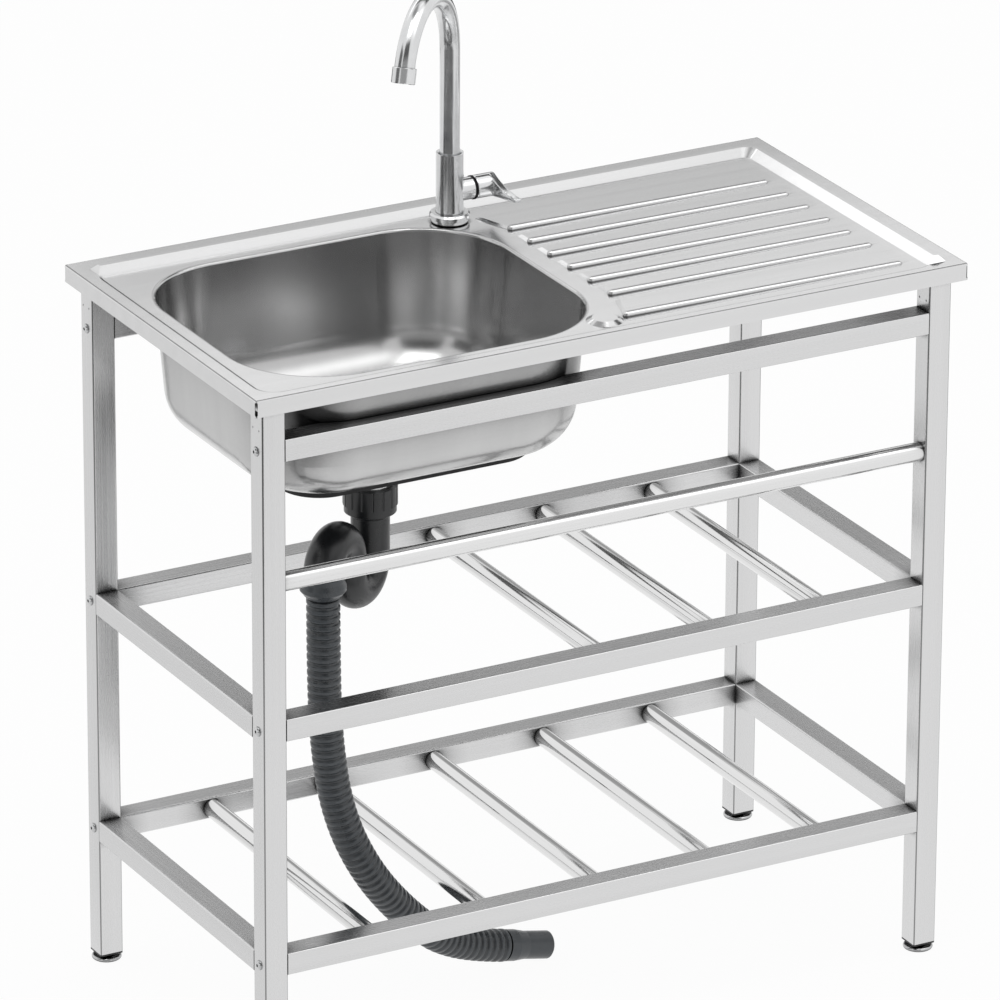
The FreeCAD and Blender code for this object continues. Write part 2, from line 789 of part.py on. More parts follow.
def strainer_basket():
    """Lift-out basket with a perforated floor and a knob."""
    rim_r = drain_cup_radius - drain_wall - clear_gap
    seat_r = drain_cup_radius - drain_wall - drain_seat_step - 2 * clear_gap
    low = seat_level + clear_gap
    floor_z = low - basket_depth
    floor_r = seat_r - basket_taper
    cup = turned([
        (0, floor_z), (floor_r, floor_z), (seat_r, low), (rim_r, low), (rim_r, low + basket_wall),
        (seat_r - basket_wall, low + basket_wall), (floor_r - basket_wall, floor_z + basket_wall),
        (0, floor_z + basket_wall)], bowl_x, bowl_y)
    knob_z = low + basket_knob_radius
    stem = cylinder(basket_post_radius, V(bowl_x, bowl_y, floor_z + basket_wall / 2), V(bowl_x, bowl_y, knob_z))
    knob = Part.makeSphere(basket_knob_radius, V(bowl_x, bowl_y, knob_z))
    cuts = []
    for count, spot in ((basket_outer_holes, floor_r - basket_rim - basket_hole_radius),
                        (basket_inner_holes, floor_r / 2)):
        for i in range(count):
            angle = 2 * math.pi * i / count
            x = bowl_x + spot * math.cos(angle)
            y = bowl_y + spot * math.sin(angle)
            cuts.append(cylinder(basket_hole_radius, V(x, y, floor_z - overrun), V(x, y, floor_z + 2 * overrun)))
    return fuse([cup, stem, knob]).cut(cuts)


# Trap and hose


nut_top = stub_bottom + nut_overlap
nut_bottom = nut_top - nut_height
heading = V(trap_heading_x_share, trap_heading_y_share, 0).normalize()
drain_axis = V(bowl_x, bowl_y, 0)
outlet_axis = drain_axis + heading * (2 * trap_leg_spacing)
turn_radius = trap_leg_spacing / 2
dip_level = nut_bottom - trap_dip + trap_radius + turn_radius
arch_level = dip_level + trap_rise
trap_end = arch_level - trap_outlet
head_top = stub_bottom - trap_seal_height


def coupling_nut():
    """Hand-tight nut with fluted grip."""
    nut = ring(nut_radius, drain_stub_radius + running_gap, bowl_x, bowl_y, nut_bottom, nut_top)
    cuts = []
    for i in range(nut_flutes):
        angle = 2 * math.pi * i / nut_flutes
        spot = V(bowl_x + (nut_radius + nut_flute_radius / 2) * math.cos(angle),
                 bowl_y + (nut_radius + nut_flute_radius / 2) * math.sin(angle), nut_bottom - overrun)
        cuts.append(cylinder(nut_flute_radius, spot, spot + V(0, 0, nut_height + 2 * overrun)))
    return nut.cut(cuts)


def trap_seal():
    """Sealing ring between the outlet stub and the trap."""
    return ring(drain_stub_radius, drain_stub_radius - 2 * drain_wall, bowl_x, bowl_y, head_top, stub_bottom)


def trap_path(top, bottom):
    """Centre line of the trap from its inlet down, up, over and down to its outlet."""
    s = turn_radius
    at = lambda run, z: drain_axis + heading * run + V(0, 0, z)
    return Part.Wire([
        Part.LineSegment(at(0, top), at(0, dip_level)).toShape(),
        Part.Arc(at(0, dip_level), at(s, dip_level - s), at(2 * s, dip_level)).toShape(),
        Part.LineSegment(at(2 * s, dip_level), at(2 * s, arch_level)).toShape(),
        Part.Arc(at(2 * s, arch_level), at(3 * s, arch_level + s), at(4 * s, arch_level)).toShape(),
        Part.LineSegment(at(4 * s, arch_level), at(4 * s, bottom)).toShape()])


def trap_pipe():
    """Trap bent twice, with a collar under the coupling nut."""
    collar_low = nut_bottom - slip_gap - trap_collar_height
    pipe = swept(trap_radius, trap_path(collar_low, trap_end))
    head = turned([
        (0, head_top), (drain_stub_radius - slip_gap, head_top), (drain_stub_radius - slip_gap, nut_bottom - slip_gap),
        (trap_collar_radius, nut_bottom - slip_gap), (trap_collar_radius, collar_low),
        (trap_radius, collar_low - trap_collar_taper), (0, collar_low - trap_collar_taper)], bowl_x, bowl_y)
    bore = swept(trap_radius - trap_wall, trap_path(head_top + overrun, trap_end - overrun))
    return fuse([pipe, head]).cut(bore)


cuff_top = trap_end + cuff_grip
cuff_bottom = cuff_top - cuff_height


def hose_cuff():
    """Rubber cuff that joins the hose to the trap outlet."""
    ring_low = cuff_bottom + cuff_taper
    ring_high = ring_low + cuff_ring_height
    profile = [
        (trap_radius + running_gap, cuff_top), (cuff_neck_radius, cuff_top),
        (cuff_neck_radius, ring_high + cuff_ring_height), (cuff_ring_radius, ring_high),
        (cuff_ring_radius, ring_low), (hose_crest_radius, cuff_bottom), (hose_bore_radius, cuff_bottom),
        (hose_bore_radius, trap_end - running_gap), (trap_radius + running_gap, trap_end - running_gap)]
    return turned(profile, outlet_axis.x, outlet_axis.y)


hose_start = V(outlet_axis.x, outlet_axis.y, cuff_bottom)
hose_points = [hose_start] + [V(*p) for p in hose_route]


def hose_path():
    """Straight runs joined by tangent arcs, each as large as its runs allow."""
    run_share = 0.45
    edges = []
    radii = []
    at = hose_points[0]
    for before, corner, after in zip(hose_points, hose_points[1:], hose_points[2:]):
        back = (before - corner).normalize()
        ahead = (after - corner).normalize()
        trim = run_share * min((before - corner).Length, (after - corner).Length)
        turn = math.pi - back.getAngle(ahead)
        radius = trim / math.tan(turn / 2)
        radii.append(radius)
        first = corner + back * trim
        last = corner + ahead * trim
        middle = (back + ahead).normalize()
        depth = radius / math.cos(turn / 2) - radius
        edges.append(Part.LineSegment(at, first).toShape())
        edges.append(Part.Arc(first, corner + middle * depth, last).toShape())
        at = last
    edges.append(Part.LineSegment(at, hose_points[-1]).toShape())
    print("hose radii", ["%.0f" % r for r in radii])
    return edges


def along(edges, distance):
    """Point and heading at a distance along a chain of edges."""
    for edge in edges:
        if distance <= edge.Length or edge is edges[-1]:
            at = edge.getParameterByLength(min(distance, edge.Length))
            return edge.valueAt(at), edge.tangentAt(at)
        distance -= edge.Length


def hose_ring(edges, distance, radius):
    """Circle square to the path, with its start kept on one side."""
    point, tangent = along(edges, distance)
    side = V(0, 1, 0)
    side = (side - tangent * side.dot(tangent)).normalize()
    circle = Part.Circle(point, tangent, radius)
    circle.XAxis = side
    return Part.Wire(circle.toShape())


def drain_hose():
    """Ribbed hose with its bore, from the outlet cuff to the end cuff."""
    edges = hose_path()
    length = sum(e.Length for e in edges)
    count = int(length / hose_rib_pitch)
    pitch = length / count
    rings = []
    bores = []
    low = (1 - hose_crest_share - 2 * hose_flank_share) / 2
    rise = low + hose_flank_share
    fall = rise + hose_crest_share
    stations = [(low, hose_root_radius), (rise, hose_crest_radius), (fall, hose_crest_radius), (1 - low, hose_root_radius)]
    rings.append(hose_ring(edges, 0, hose_root_radius))
    for i in range(count):
        for share, radius in stations:
            rings.append(hose_ring(edges, (i + share) * pitch, radius))
    rings.append(hose_ring(edges, length, hose_root_radius))
    bore_count = count // 2
    for i in range(bore_count + 1):
        bores.append(hose_ring(edges, length * i / bore_count, hose_bore_radius))
    outer = Part.makeLoft(rings, True, True)
    bore = Part.makeLoft(bores, True, True)
    start, start_way = along(edges, 0)
    end, end_way = along(edges, length)
    hose = outer.cut(bore)
    crest = math.pi * hose_crest_radius ** 2 * (hose_crest_share + hose_flank_share) * length
    root = math.pi * hose_root_radius ** 2 * (1 - hose_crest_share - hose_flank_share) * length
    hollow = math.pi * hose_bore_radius ** 2 * length
    print("hose length %.1f, ribs %d, volume %.0f, section times length %.0f"
          % (length, count, hose.Volume, crest + root - hollow))
    return hose


def hose_end_cuff():
    """Rubber cuff on the free end of the hose."""
    end = hose_points[-1]
    way = (hose_points[-1] - hose_points[-2]).normalize()
    neck = end_cuff_collar + end_cuff_taper
    profile = [
        (hose_bore_radius, 0), (end_cuff_big_radius, 0), (end_cuff_big_radius, end_cuff_collar),
        (end_cuff_small_radius, neck), (end_cuff_small_radius, end_cuff_length - end_cuff_edge),
        (end_cuff_small_radius - end_cuff_edge, end_cuff_length), (hose_bore_radius - end_cuff_edge, end_cuff_length),
        (hose_bore_radius - end_cuff_edge, neck)]
    cuff = turned(profile)
    cuff.Placement = FreeCAD.Placement(end, FreeCAD.Rotation(V(0, 0, 1), way))
    return cuff


# Faucet


body_low = work_level + base_gasket
body_top = work_level + body_height
spout_low = body_top - spout_engagement
stub_axis = work_level + stub_level
spout_way = V(spout_heading_x_share, spout_heading_y_share, 0).normalize()
faucet_axis = V(faucet_x, faucet_y, 0)


def faucet_gasket():
    """Seal under the faucet base."""
    return ring(base_step_radius - base_round, shank_radius + shank_hole_gap, faucet_x, faucet_y, work_level, body_low)


def faucet_body():
    """Turned body with a stepped base, an open collar and a side stub for the valve."""
    step = body_low + base_step_height
    top = body_low + base_height
    socket_low = body_top - body_socket_depth
    profile = [
        (water_bore_radius, body_low), (base_step_radius, body_low), (base_step_radius, step),
        (base_radius, step), (base_radius, top - base_round), (base_radius - base_round, top),
        (body_radius, top), (body_radius, body_top), (body_mouth_radius, body_top),
        (spout_radius + running_gap, body_top - body_mouth_depth), (spout_radius + running_gap, socket_low),
        (water_bore_radius, socket_low)]
    body = turned(profile, faucet_x, faucet_y)
    centre = V(faucet_x, faucet_y, stub_axis)
    stub = cylinder(stub_radius, centre + V(water_bore_radius + sheet, 0, 0), centre + V(stub_reach, 0, 0))
    bore = cylinder(spindle_radius + running_gap, centre, centre + V(stub_reach + overrun, 0, 0))
    return fuse([body, stub]).cut(bore)


def stem_ring():
    """Black ring between the valve stub and the handle hub."""
    start = V(faucet_x + stub_reach, faucet_y, stub_axis)
    end = start + V(stem_ring_width, 0, 0)
    reach = V(overrun, 0, 0)
    return cylinder(stem_ring_radius, start, end).cut(cylinder(spindle_radius + clear_gap, start - reach, end + reach))


hub_start = stub_reach + stem_ring_width + clear_gap
lever_start = hub_start + hub_length
lever_end = lever_start + lever_thickness


def spindle():
    """Valve spindle that turns with the handle."""
    centre = V(faucet_x, faucet_y, stub_axis)
    bar = cylinder(spindle_radius, centre + V(spindle_inner, 0, 0), centre + V(lever_start, 0, 0))
    hole = cylinder(screw_radius + running_gap, centre + V(lever_start - screw_length, 0, 0),
                    centre + V(lever_start + overrun, 0, 0))
    return bar.cut(hole)


def lever_face(x, inset):
    """Teardrop outline of the lever, pointing to the front."""
    r = hub_radius - inset
    tip = lever_reach - 2 * inset
    top = lever_waist_top - inset / 2
    bottom = lever_waist_bottom - inset / 2
    at = lambda y, z: V(faucet_x + x, faucet_y + y, stub_axis + z)
    high = at(0, r)
    low = at(0, -r)
    upper = at(-tip, lever_tip)
    under = at(-tip, -lever_tip)
    wire = Part.Wire([
        Part.Arc(low, at(r, 0), high).toShape(), Part.Arc(high, at(-lever_waist, top), upper).toShape(),
        Part.LineSegment(upper, under).toShape(), Part.Arc(under, at(-lever_waist, -bottom), low).toShape()])
    return Part.Face(wire)


def handle():
    """Lever handle: a round hub and a teardrop blade dished on its inner face."""
    centre = V(faucet_x, faucet_y, stub_axis)
    hub = cylinder(hub_radius, centre + V(hub_start, 0, 0), centre + V(lever_start + sheet, 0, 0))
    blade = lever_face(lever_start, 0).extrude(V(lever_thickness, 0, 0))
    dish = lever_face(lever_start - overrun, lever_dish_margin).extrude(V(overrun + lever_dish_depth, 0, 0))
    dish = dish.cut(cylinder(hub_radius, centre, centre + V(lever_end, 0, 0)))
    bore = cylinder(spindle_radius + running_gap, centre, centre + V(lever_start + running_gap, 0, 0))
    screw_way = cylinder(screw_radius + slip_gap, centre, centre + V(lever_end + overrun, 0, 0))
    recess = cylinder(screw_head_radius + slip_gap, centre + V(lever_end - screw_head_height - slip_gap, 0, 0),
                      centre + V(lever_end + overrun, 0, 0))
    return fuse([hub, blade]).cut([dish, bore, screw_way, recess])


def handle_screw():
    """Screw that holds the handle on the spindle."""
    centre = V(faucet_x, faucet_y, stub_axis)
    head_in = lever_end - screw_head_height - slip_gap
    head = cylinder(screw_head_radius, centre + V(head_in, 0, 0), centre + V(head_in + screw_head_height, 0, 0))
    shank_in = lever_start - screw_length + clear_gap
    shank = cylinder(screw_radius, centre + V(shank_in, 0, 0), centre + V(head_in + screw_head_height / 2, 0, 0))
    return fuse([head, shank])


def faucet_shank():
    """Inlet below the worktop, with a relief groove under the locknut."""
    shank = ring(shank_radius, water_bore_radius, faucet_x, faucet_y, body_low - shank_length, body_low)
    nut_low = under_level - washer_height - locknut_height
    return shank.cut(ring(shank_radius + overrun, shank_radius - shank_relief_depth, faucet_x, faucet_y,
                          nut_low - shank_relief, nut_low))


def faucet_washer():
    """Washer under the worktop."""
    return ring(washer_radius, shank_radius + slip_gap, faucet_x, faucet_y, under_level - washer_height, under_level)


def faucet_locknut():
    """Hexagon nut that clamps the faucet to the worktop."""
    top = under_level - washer_height
    sides = 6
    corner = locknut_flats / 2 / math.cos(math.pi / sides)
    points = [V(faucet_x + corner * math.cos(2 * math.pi * i / sides),
                faucet_y + corner * math.sin(2 * math.pi * i / sides), top - locknut_height) for i in range(sides)]
    nut = polygon_face(points).extrude(V(0, 0, locknut_height))
    return nut.cut(cylinder(shank_radius + running_gap, V(faucet_x, faucet_y, top - locknut_height - overrun),
                            V(faucet_x, faucet_y, top + overrun)))


arch_turn = math.radians(spout_arch_angle)


def spout_point(angle):
    """Point on the centre line of the gooseneck arch."""
    run = spout_arch_radius - spout_arch_radius * math.cos(angle)
    return faucet_axis + spout_way * run + V(0, 0, spout_arch_level + spout_arch_radius * math.sin(angle))


spout_end = spout_point(arch_turn)
spout_exit = (spout_way * math.sin(arch_turn) + V(0, 0, math.cos(arch_turn))).normalize()


def spout_path(low, tail):
    """Centre line of the gooseneck."""
    foot_point = faucet_axis + V(0, 0, low)
    bend = faucet_axis + V(0, 0, spout_arch_level)
    return Part.Wire([
        Part.LineSegment(foot_point, bend).toShape(),
        Part.Arc(bend, spout_point(arch_turn / 2), spout_end).toShape(),
        Part.LineSegment(spout_end, spout_end + spout_exit * tail).toShape()])


def spout():
    """Gooseneck tube, thinner where its sleeve sits in the body."""
    tube = swept(spout_radius, spout_path(spout_low, spout_tail))
    bore = swept(spout_radius - spout_wall - spout_sleeve_wall, spout_path(spout_low - overrun, spout_tail + overrun))
    groove = ring(spout_radius + overrun, spout_radius - spout_sleeve_wall, faucet_x, faucet_y,
                  spout_low - overrun, spout_low + spout_sleeve_length)
    return tube.cut([bore, groove])


def spout_sleeve():
    """Plastic sleeve that the spout turns in."""
    return ring(spout_radius, spout_radius - spout_sleeve_wall, faucet_x, faucet_y, spout_low,
                spout_low + spout_sleeve_length)


aerator_start = spout_end + spout_exit * (spout_tail - aerator_grip)


def on_spout(shape):
    """Move a piece made along Z onto the end of the spout."""
    shape.Placement = FreeCAD.Placement(aerator_start, FreeCAD.Rotation(V(0, 0, 1), spout_exit))
    return shape


def aerator():
    """Sleeve on the end of the spout, with a lip that holds the insert."""
    ledge = aerator_length - aerator_lip
    edge = aerator_lip / 2
    return on_spout(turned([
        (spout_radius + running_gap, 0), (aerator_radius - edge, 0), (aerator_radius, edge),
        (aerator_radius, aerator_length - edge), (aerator_radius - edge, aerator_length),
        (spout_radius - aerator_lip, aerator_length), (spout_radius - aerator_lip, ledge),
        (spout_radius + running_gap, ledge)]))


def aerator_insert():
    """Perforated disc in the mouth of the aerator."""
    ledge = aerator_length - aerator_lip
    disc = cylinder(spout_radius, V(0, 0, ledge - aerator_insert_height), V(0, 0, ledge))
    cuts = []
    for count, spot in ((aerator_holes, spout_radius - 3 * aerator_hole_radius), (aerator_holes // 2, spout_radius / 3)):
        for i in range(count):
            angle = 2 * math.pi * i / count
            at = V(spot * math.cos(angle), spot * math.sin(angle), ledge - aerator_insert_height - overrun)
            cuts.append(cylinder(aerator_hole_radius, at, at + V(0, 0, aerator_insert_height + 2 * overrun)))
    return on_spout(disc.cut(cuts))


def main():
    """Build every piece and write it."""
    os.makedirs(OUT, exist_ok=True)
    save("worktop", worktop())
    save("bowl", bowl())
    save("sound_pad", sound_pad())
    sides = {"left": -1, "right": 1}
    depths = {"front": -1, "rear": 1}
    for depth_name, sy in depths.items():
        for side_name, sx in sides.items():
            save("post_%s_%s" % (depth_name, side_name), post(sx, sy))
            save("foot_%s_%s" % (depth_name, side_name), foot(sx, sy))
        apron = long_rail(sy, apron_rail_level, [])
        save("apron_rail_" + depth_name, apron.cut(bowl_notch(apron_rail_level)) if sy < 0 else apron)
        save("upper_rail_" + depth_name, long_rail(sy, upper_rail_level, upper_rod_x))
        save("lower_rail_" + depth_name, long_rail(sy, lower_rail_level, lower_rod_x))
    for side_name, sx in sides.items():
        save("upper_rail_" + side_name, side_rail(sx, upper_rail_level))
        save("lower_rail_" + side_name, side_rail(sx, lower_rail_level))
    for i, x in enumerate(upper_rod_x):
        save("upper_rod_%d" % (i + 1), shelf_rod(x, upper_rail_level))
    for i, x in enumerate(lower_rod_x):
        save("lower_rod_%d" % (i + 1), shelf_rod(x, lower_rail_level))
    reach = post_outer_x - post_wall - slip_gap
    save("towel_bar", round_tube(V(-reach, -post_centre_y, towel_bar_level), V(reach, -post_centre_y, towel_bar_level)))
    corners = [(sx, sy, z) for z in bolt_levels for sx in (-1, 1) for sy in (-1, 1)]
    save("frame_bolts", [frame_bolt(*c) for c in corners])
    save("rail_inserts", [rail_insert(*c) for c in corners])
    save("corner_sockets", mirrored_four(corner_socket))
    save("leg_plugs", mirrored_four(leg_plug))
    save("drain_body", drain_body())
    save("drain_seal", drain_seal())
    save("drain_locknut", drain_locknut())
    save("strainer_basket", strainer_basket())
    save("coupling_nut", coupling_nut())
    save("trap_seal", trap_seal())
    save("trap_pipe", trap_pipe())
    save("hose_cuff", hose_cuff())
    save("drain_hose", drain_hose())
    save("hose_end_cuff", hose_end_cuff())
    save("faucet_gasket", faucet_gasket())
    save("faucet_body", faucet_body())
    save("faucet_shank", faucet_shank())
    save("faucet_washer", faucet_washer())
    save("faucet_locknut", faucet_locknut())
    save("stem_ring", stem_ring())
    save("valve_spindle", spindle())
    save("handle", handle())
    save("handle_screw", handle_screw())
    save("spout", spout())
    save("spout_sleeve", spout_sleeve())
    save("aerator", aerator())
    save("aerator_insert", aerator_insert())


main()
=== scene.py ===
"""Looks of the freestanding utility sink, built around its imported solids.

Every piece is in metres, in the frame of the solids: X to the right along the worktop, Y to the back, Z up,
with the origin on the floor under the middle of the worktop.
"""

import logging
import math
from dataclasses import dataclass
from enum import Enum
from typing import Iterable, NamedTuple, Sequence

import bmesh
import bpy
from mathutils import Matrix, Quaternion, Vector


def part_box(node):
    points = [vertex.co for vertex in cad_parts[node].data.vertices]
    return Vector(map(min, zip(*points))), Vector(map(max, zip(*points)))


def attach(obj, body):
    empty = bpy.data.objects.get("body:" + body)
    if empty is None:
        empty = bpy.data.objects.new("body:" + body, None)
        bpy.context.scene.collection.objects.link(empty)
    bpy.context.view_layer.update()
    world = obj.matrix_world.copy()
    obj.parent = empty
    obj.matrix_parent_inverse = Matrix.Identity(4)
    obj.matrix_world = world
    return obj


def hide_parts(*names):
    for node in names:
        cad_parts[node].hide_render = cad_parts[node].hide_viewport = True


LOG = logging.getLogger("utility_sink")
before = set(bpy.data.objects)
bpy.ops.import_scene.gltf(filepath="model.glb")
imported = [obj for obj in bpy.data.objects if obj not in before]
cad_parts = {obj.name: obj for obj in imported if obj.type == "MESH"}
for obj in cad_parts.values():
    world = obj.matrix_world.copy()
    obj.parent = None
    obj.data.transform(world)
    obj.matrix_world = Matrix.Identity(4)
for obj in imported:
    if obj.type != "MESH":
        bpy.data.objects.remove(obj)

Socket = bpy.types.NodeSocket
Triple = tuple[float, float, float]
Span = tuple[float, float]

# Directions and plain values
UP: Triple = (0.0, 0.0, 1.0)
DOWN: Triple = (0.0, 0.0, -1.0)
TO_FRONT: Triple = (0.0, -1.0, 0.0)
TO_BACK: Triple = (0.0, 1.0, 0.0)
TO_RIGHT: Triple = (1.0, 0.0, 0.0)
WHITE = (1.0, 1.0, 1.0, 1.0)
WELD_DISTANCE = 1e-6

# Values between which most of a noise pattern lies
PATTERN_RANGE: Span = (0.3, 0.7)

# Places of the colour sockets on Blender's mix node, whose names repeat for each kind of data
MIX_SHARE, MIX_FIRST, MIX_SECOND, MIX_RESULT = 0, 6, 7, 2


class Grain(Enum):
    """Direction in which a sheet or tube was brushed."""

    ALONG_X = 0
    ALONG_Y = 1
    ALONG_Z = 2


class Body(Enum):
    """Bodies that the new pieces ride on, apart from the feet."""

    STAND = "stand"
    HANDLE = "handle"


class Pattern(NamedTuple):
    """Noise pattern, in cells per metre along its grain and across it."""

    along: float
    across: float
    detail: float = 3.0
    rough: float = 0.5

    def scale(self, grain: Grain) -> Triple:
        """Return the cells per metre along X, Y and Z."""
        return tuple(self.along if axis == grain.value else self.across for axis in range(3))


@dataclass(frozen=True)
class PaintedShade:
    """Painted shade: darkening of a finish near other surfaces, taken from ambient occlusion."""

    reach: float
    least: float = 0.25
    tight: float = 0.4
    open: float = 0.95
    samples: int = 8


@dataclass(frozen=True)
class PaintedEdgeReflection:
    """Painted dark reflection along the bent outer edge of a rectangular sheet."""

    half_width: float
    half_depth: float
    tone: float = 0.26
    fade: Span = (0.0002, 0.0004)
    tilt: Span = (0.55, 0.7)


class Nodes:
    """Lays out the nodes of one tree."""

    def __init__(self, tree: bpy.types.NodeTree) -> None:
        """Take the tree of a material or of the world and empty it."""
        self.tree = tree
        self.tree.nodes.clear()

    def node(self, kind: str, **values: object) -> bpy.types.Node:
        """Add a node and set its properties and sockets.

        Args:
            kind: Blender's name of the node type.
            values: Properties by name, or sockets by name with spaces written as underscores.

        Returns:
            The new node.
        """
        made = self.tree.nodes.new(kind)
        for key, value in values.items():
            if hasattr(made, key):
                setattr(made, key, value)
            else:
                made.inputs[key.replace("_", " ")].default_value = value
        return made

    def link(self, out: Socket, into: Socket) -> None:
        """Join two sockets."""
        self.tree.links.new(out, into)

    def join(self, operation: str, first: Socket, second: Socket) -> Socket:
        """Join two values.

        Args:
            operation: Blender's name of the operation.
            first: First value.
            second: Second value.

        Returns:
            The socket of the result.
        """
        made = self.node("ShaderNodeMath", operation=operation)
        self.link(first, made.inputs[0])
        self.link(second, made.inputs[1])
        return made.outputs[0]

    def mixed_shader(self, share: Socket, first: Socket, second: Socket) -> Socket:
        """Mix two shaders.

        Args:
            share: Share of the second shader.
            first: Shader at share 0.
            second: Shader at share 1.

        Returns:
            The socket of the mixed shader.
        """
        mix = self.node("ShaderNodeMixShader")
        self.link(share, mix.inputs["Fac"])
        self.link(first, mix.inputs[1])
        self.link(second, mix.inputs[2])
        return mix.outputs[0]

    def seen_share(self) -> Socket:
        """Tell rays that show the background from rays that only light the object.

        Returns:
            Socket that is 1 for camera, glossy and transmission rays.
        """
        path = self.node("ShaderNodeLightPath")
        seen = self.join("MAXIMUM", path.outputs["Is Camera Ray"], path.outputs["Is Glossy Ray"])
        return self.join("MAXIMUM", seen, path.outputs["Is Transmission Ray"])


class Shade(Nodes):
    """Lays out the nodes of one material."""

    def __init__(self, name: str) -> None:
        """Start an empty material.

        Args:
            name: Name of the material.
        """
        self.material = bpy.data.materials.new(name)
        self.material.use_nodes = True
        super().__init__(self.material.node_tree)
        self.output = self.node("ShaderNodeOutputMaterial")

    def where(self, kind: str) -> Socket:
        """Give the piece's Object or Generated coordinates, or its Normal."""
        return self.node("ShaderNodeTexCoord").outputs[kind]

    def noise(self, pattern: Pattern, grain: Grain = Grain.ALONG_Z) -> Socket:
        """Add a noise pattern.

        Args:
            pattern: Size and detail of the pattern.
            grain: Direction of its grain.

        Returns:
            The socket of the pattern's value.
        """
        mapping = self.node("ShaderNodeMapping", Scale=pattern.scale(grain))
        self.link(self.where("Object"), mapping.inputs["Vector"])
        made = self.node("ShaderNodeTexNoise", Scale=1.0, Detail=pattern.detail, Roughness=pattern.rough)
        self.link(mapping.outputs["Vector"], made.inputs["Vector"])
        return made.outputs["Fac"]

    def remap(self, value: Socket, source: Span, target: Span = (0.0, 1.0)) -> Socket:
        """Map one range of values to another and hold it at both ends.

        Args:
            value: Socket to map.
            source: Values at the two ends.
            target: Results at the two ends.

        Returns:
            The mapped socket.
        """
        made = self.node("ShaderNodeMapRange", From_Min=source[0], From_Max=source[1],
                         To_Min=target[0], To_Max=target[1])
        self.link(value, made.inputs["Value"])
        return made.outputs["Result"]

    def tint(self, value: Socket, low: Triple, high: Triple) -> Socket:
        """Map a pattern to colours between two ends.

        Args:
            value: Pattern socket.
            low: Colour at the pattern's low end.
            high: Colour at its high end.

        Returns:
            The colour socket.
        """
        made = self.node("ShaderNodeValToRGB")
        for end, place, colour in zip(made.color_ramp.elements, PATTERN_RANGE, (low, high)):
            end.position = place
            end.color = (*colour, 1.0)
        self.link(value, made.inputs["Fac"])
        return made.outputs["Color"]

    def greys(self, value: Socket, tone: float, spread: float) -> Socket:
        """Map a pattern to greys whose ends differ from one tone by a share of it."""
        return self.tint(value, (tone * (1.0 - spread),) * 3, (tone * (1.0 + spread),) * 3)

    def bump(self, value: Socket, depth: float, strength: float) -> Socket:
        """Turn a pattern into relief.

        Args:
            value: Height socket.
            depth: Height of the relief in metres.
            strength: Share of the relief that shows.

        Returns:
            The normal socket.
        """
        made = self.node("ShaderNodeBump", Strength=strength, Distance=depth)
        self.link(value, made.inputs["Height"])
        return made.outputs["Normal"]

    def colour_mix(self, first: Socket, second: Socket, blend: str) -> bpy.types.Node:
        """Add a mix of two colours whose share is not set yet.

        Args:
            first: First colour.
            second: Second colour.
            blend: Blender's name of the way to mix.

        Returns:
            The mix node.
        """
        mix = self.node("ShaderNodeMix", data_type="RGBA", blend_type=blend)
        self.link(first, mix.inputs[MIX_FIRST])
        self.link(second, mix.inputs[MIX_SECOND])
        return mix

    def mixed(self, share: Socket, first: Socket, second: Socket) -> Socket:
        """Mix two colours.

        Args:
            share: Share of the second colour.
            first: Colour at share 0.
            second: Colour at share 1.

        Returns:
            The mixed colour socket.
        """
        mix = self.colour_mix(first, second, "MIX")
        self.link(share, mix.inputs[MIX_SHARE])
        return mix.outputs[MIX_RESULT]

    def with_painted_shade(self, colour: Socket, painted_shade: PaintedShade) -> Socket:
        """Paint shade into a colour in corners and near other surfaces, from ambient occlusion.

        Args:
            colour: Colour before the painted shade.
            painted_shade: How far and how much it darkens.

        Returns:
            The darkened colour socket.
        """
        near = self.node("ShaderNodeAmbientOcclusion", samples=painted_shade.samples, Distance=painted_shade.reach)
        share = self.remap(near.outputs["AO"], (painted_shade.tight, painted_shade.open), (painted_shade.least, 1.0))
        mix = self.colour_mix(colour, share, "MULTIPLY")
        mix.inputs[MIX_SHARE].default_value = 1.0
        return mix.outputs[MIX_RESULT]

    def parts(self, vector: Socket) -> list[Socket]:
        """Split a vector into its three parts.

        Args:
            vector: Vector socket.

        Returns:
            The three sockets.
        """
        split = self.node("ShaderNodeSeparateXYZ")
        self.link(vector, split.inputs[0])
        return list(split.outputs)

    def sizes(self, vector: Socket) -> list[Socket]:
        """Split a vector into the sizes of its parts.

        Args:
            vector: Vector socket.

        Returns:
            The three sockets, without sign.
        """
        sizes = []
        for part in self.parts(vector):
            size = self.node("ShaderNodeMath", operation="ABSOLUTE")
            self.link(part, size.inputs[0])
            sizes.append(size.outputs[0])
        return sizes

    def upward_share(self, tilt: Span) -> Socket:
        """Rise from 0 on faces that look down to 1 on others, as the normal's upward part passes a span."""
        return self.remap(self.parts(self.where("Normal"))[2], tilt)

    def upright_corner(self, turn: Span) -> Socket:
        """Rise to 1 in a square tube's upright corners, as the normal's smaller level part passes a span."""
        x, y, _ = self.sizes(self.where("Normal"))
        return self.remap(self.join("MINIMUM", x, y), turn)

    def edge_reflection_line(self, edge_reflection: PaintedEdgeReflection) -> Socket:
        """Find the upper half of the bent outer edge, where a dark reflection is painted.

        Args:
            edge_reflection: Where the edge starts to bend.

        Returns:
            Socket that is 1 on the line.
        """
        x, y, _ = self.sizes(self.where("Object"))
        near, far = edge_reflection.fade
        across = self.remap(x, (edge_reflection.half_width + near, edge_reflection.half_width + far))
        deep = self.remap(y, (edge_reflection.half_depth + near, edge_reflection.half_depth + far))
        tilt = self.remap(self.sizes(self.where("Normal"))[2], edge_reflection.tilt)
        return self.join("MULTIPLY", self.join("MAXIMUM", across, deep), tilt)

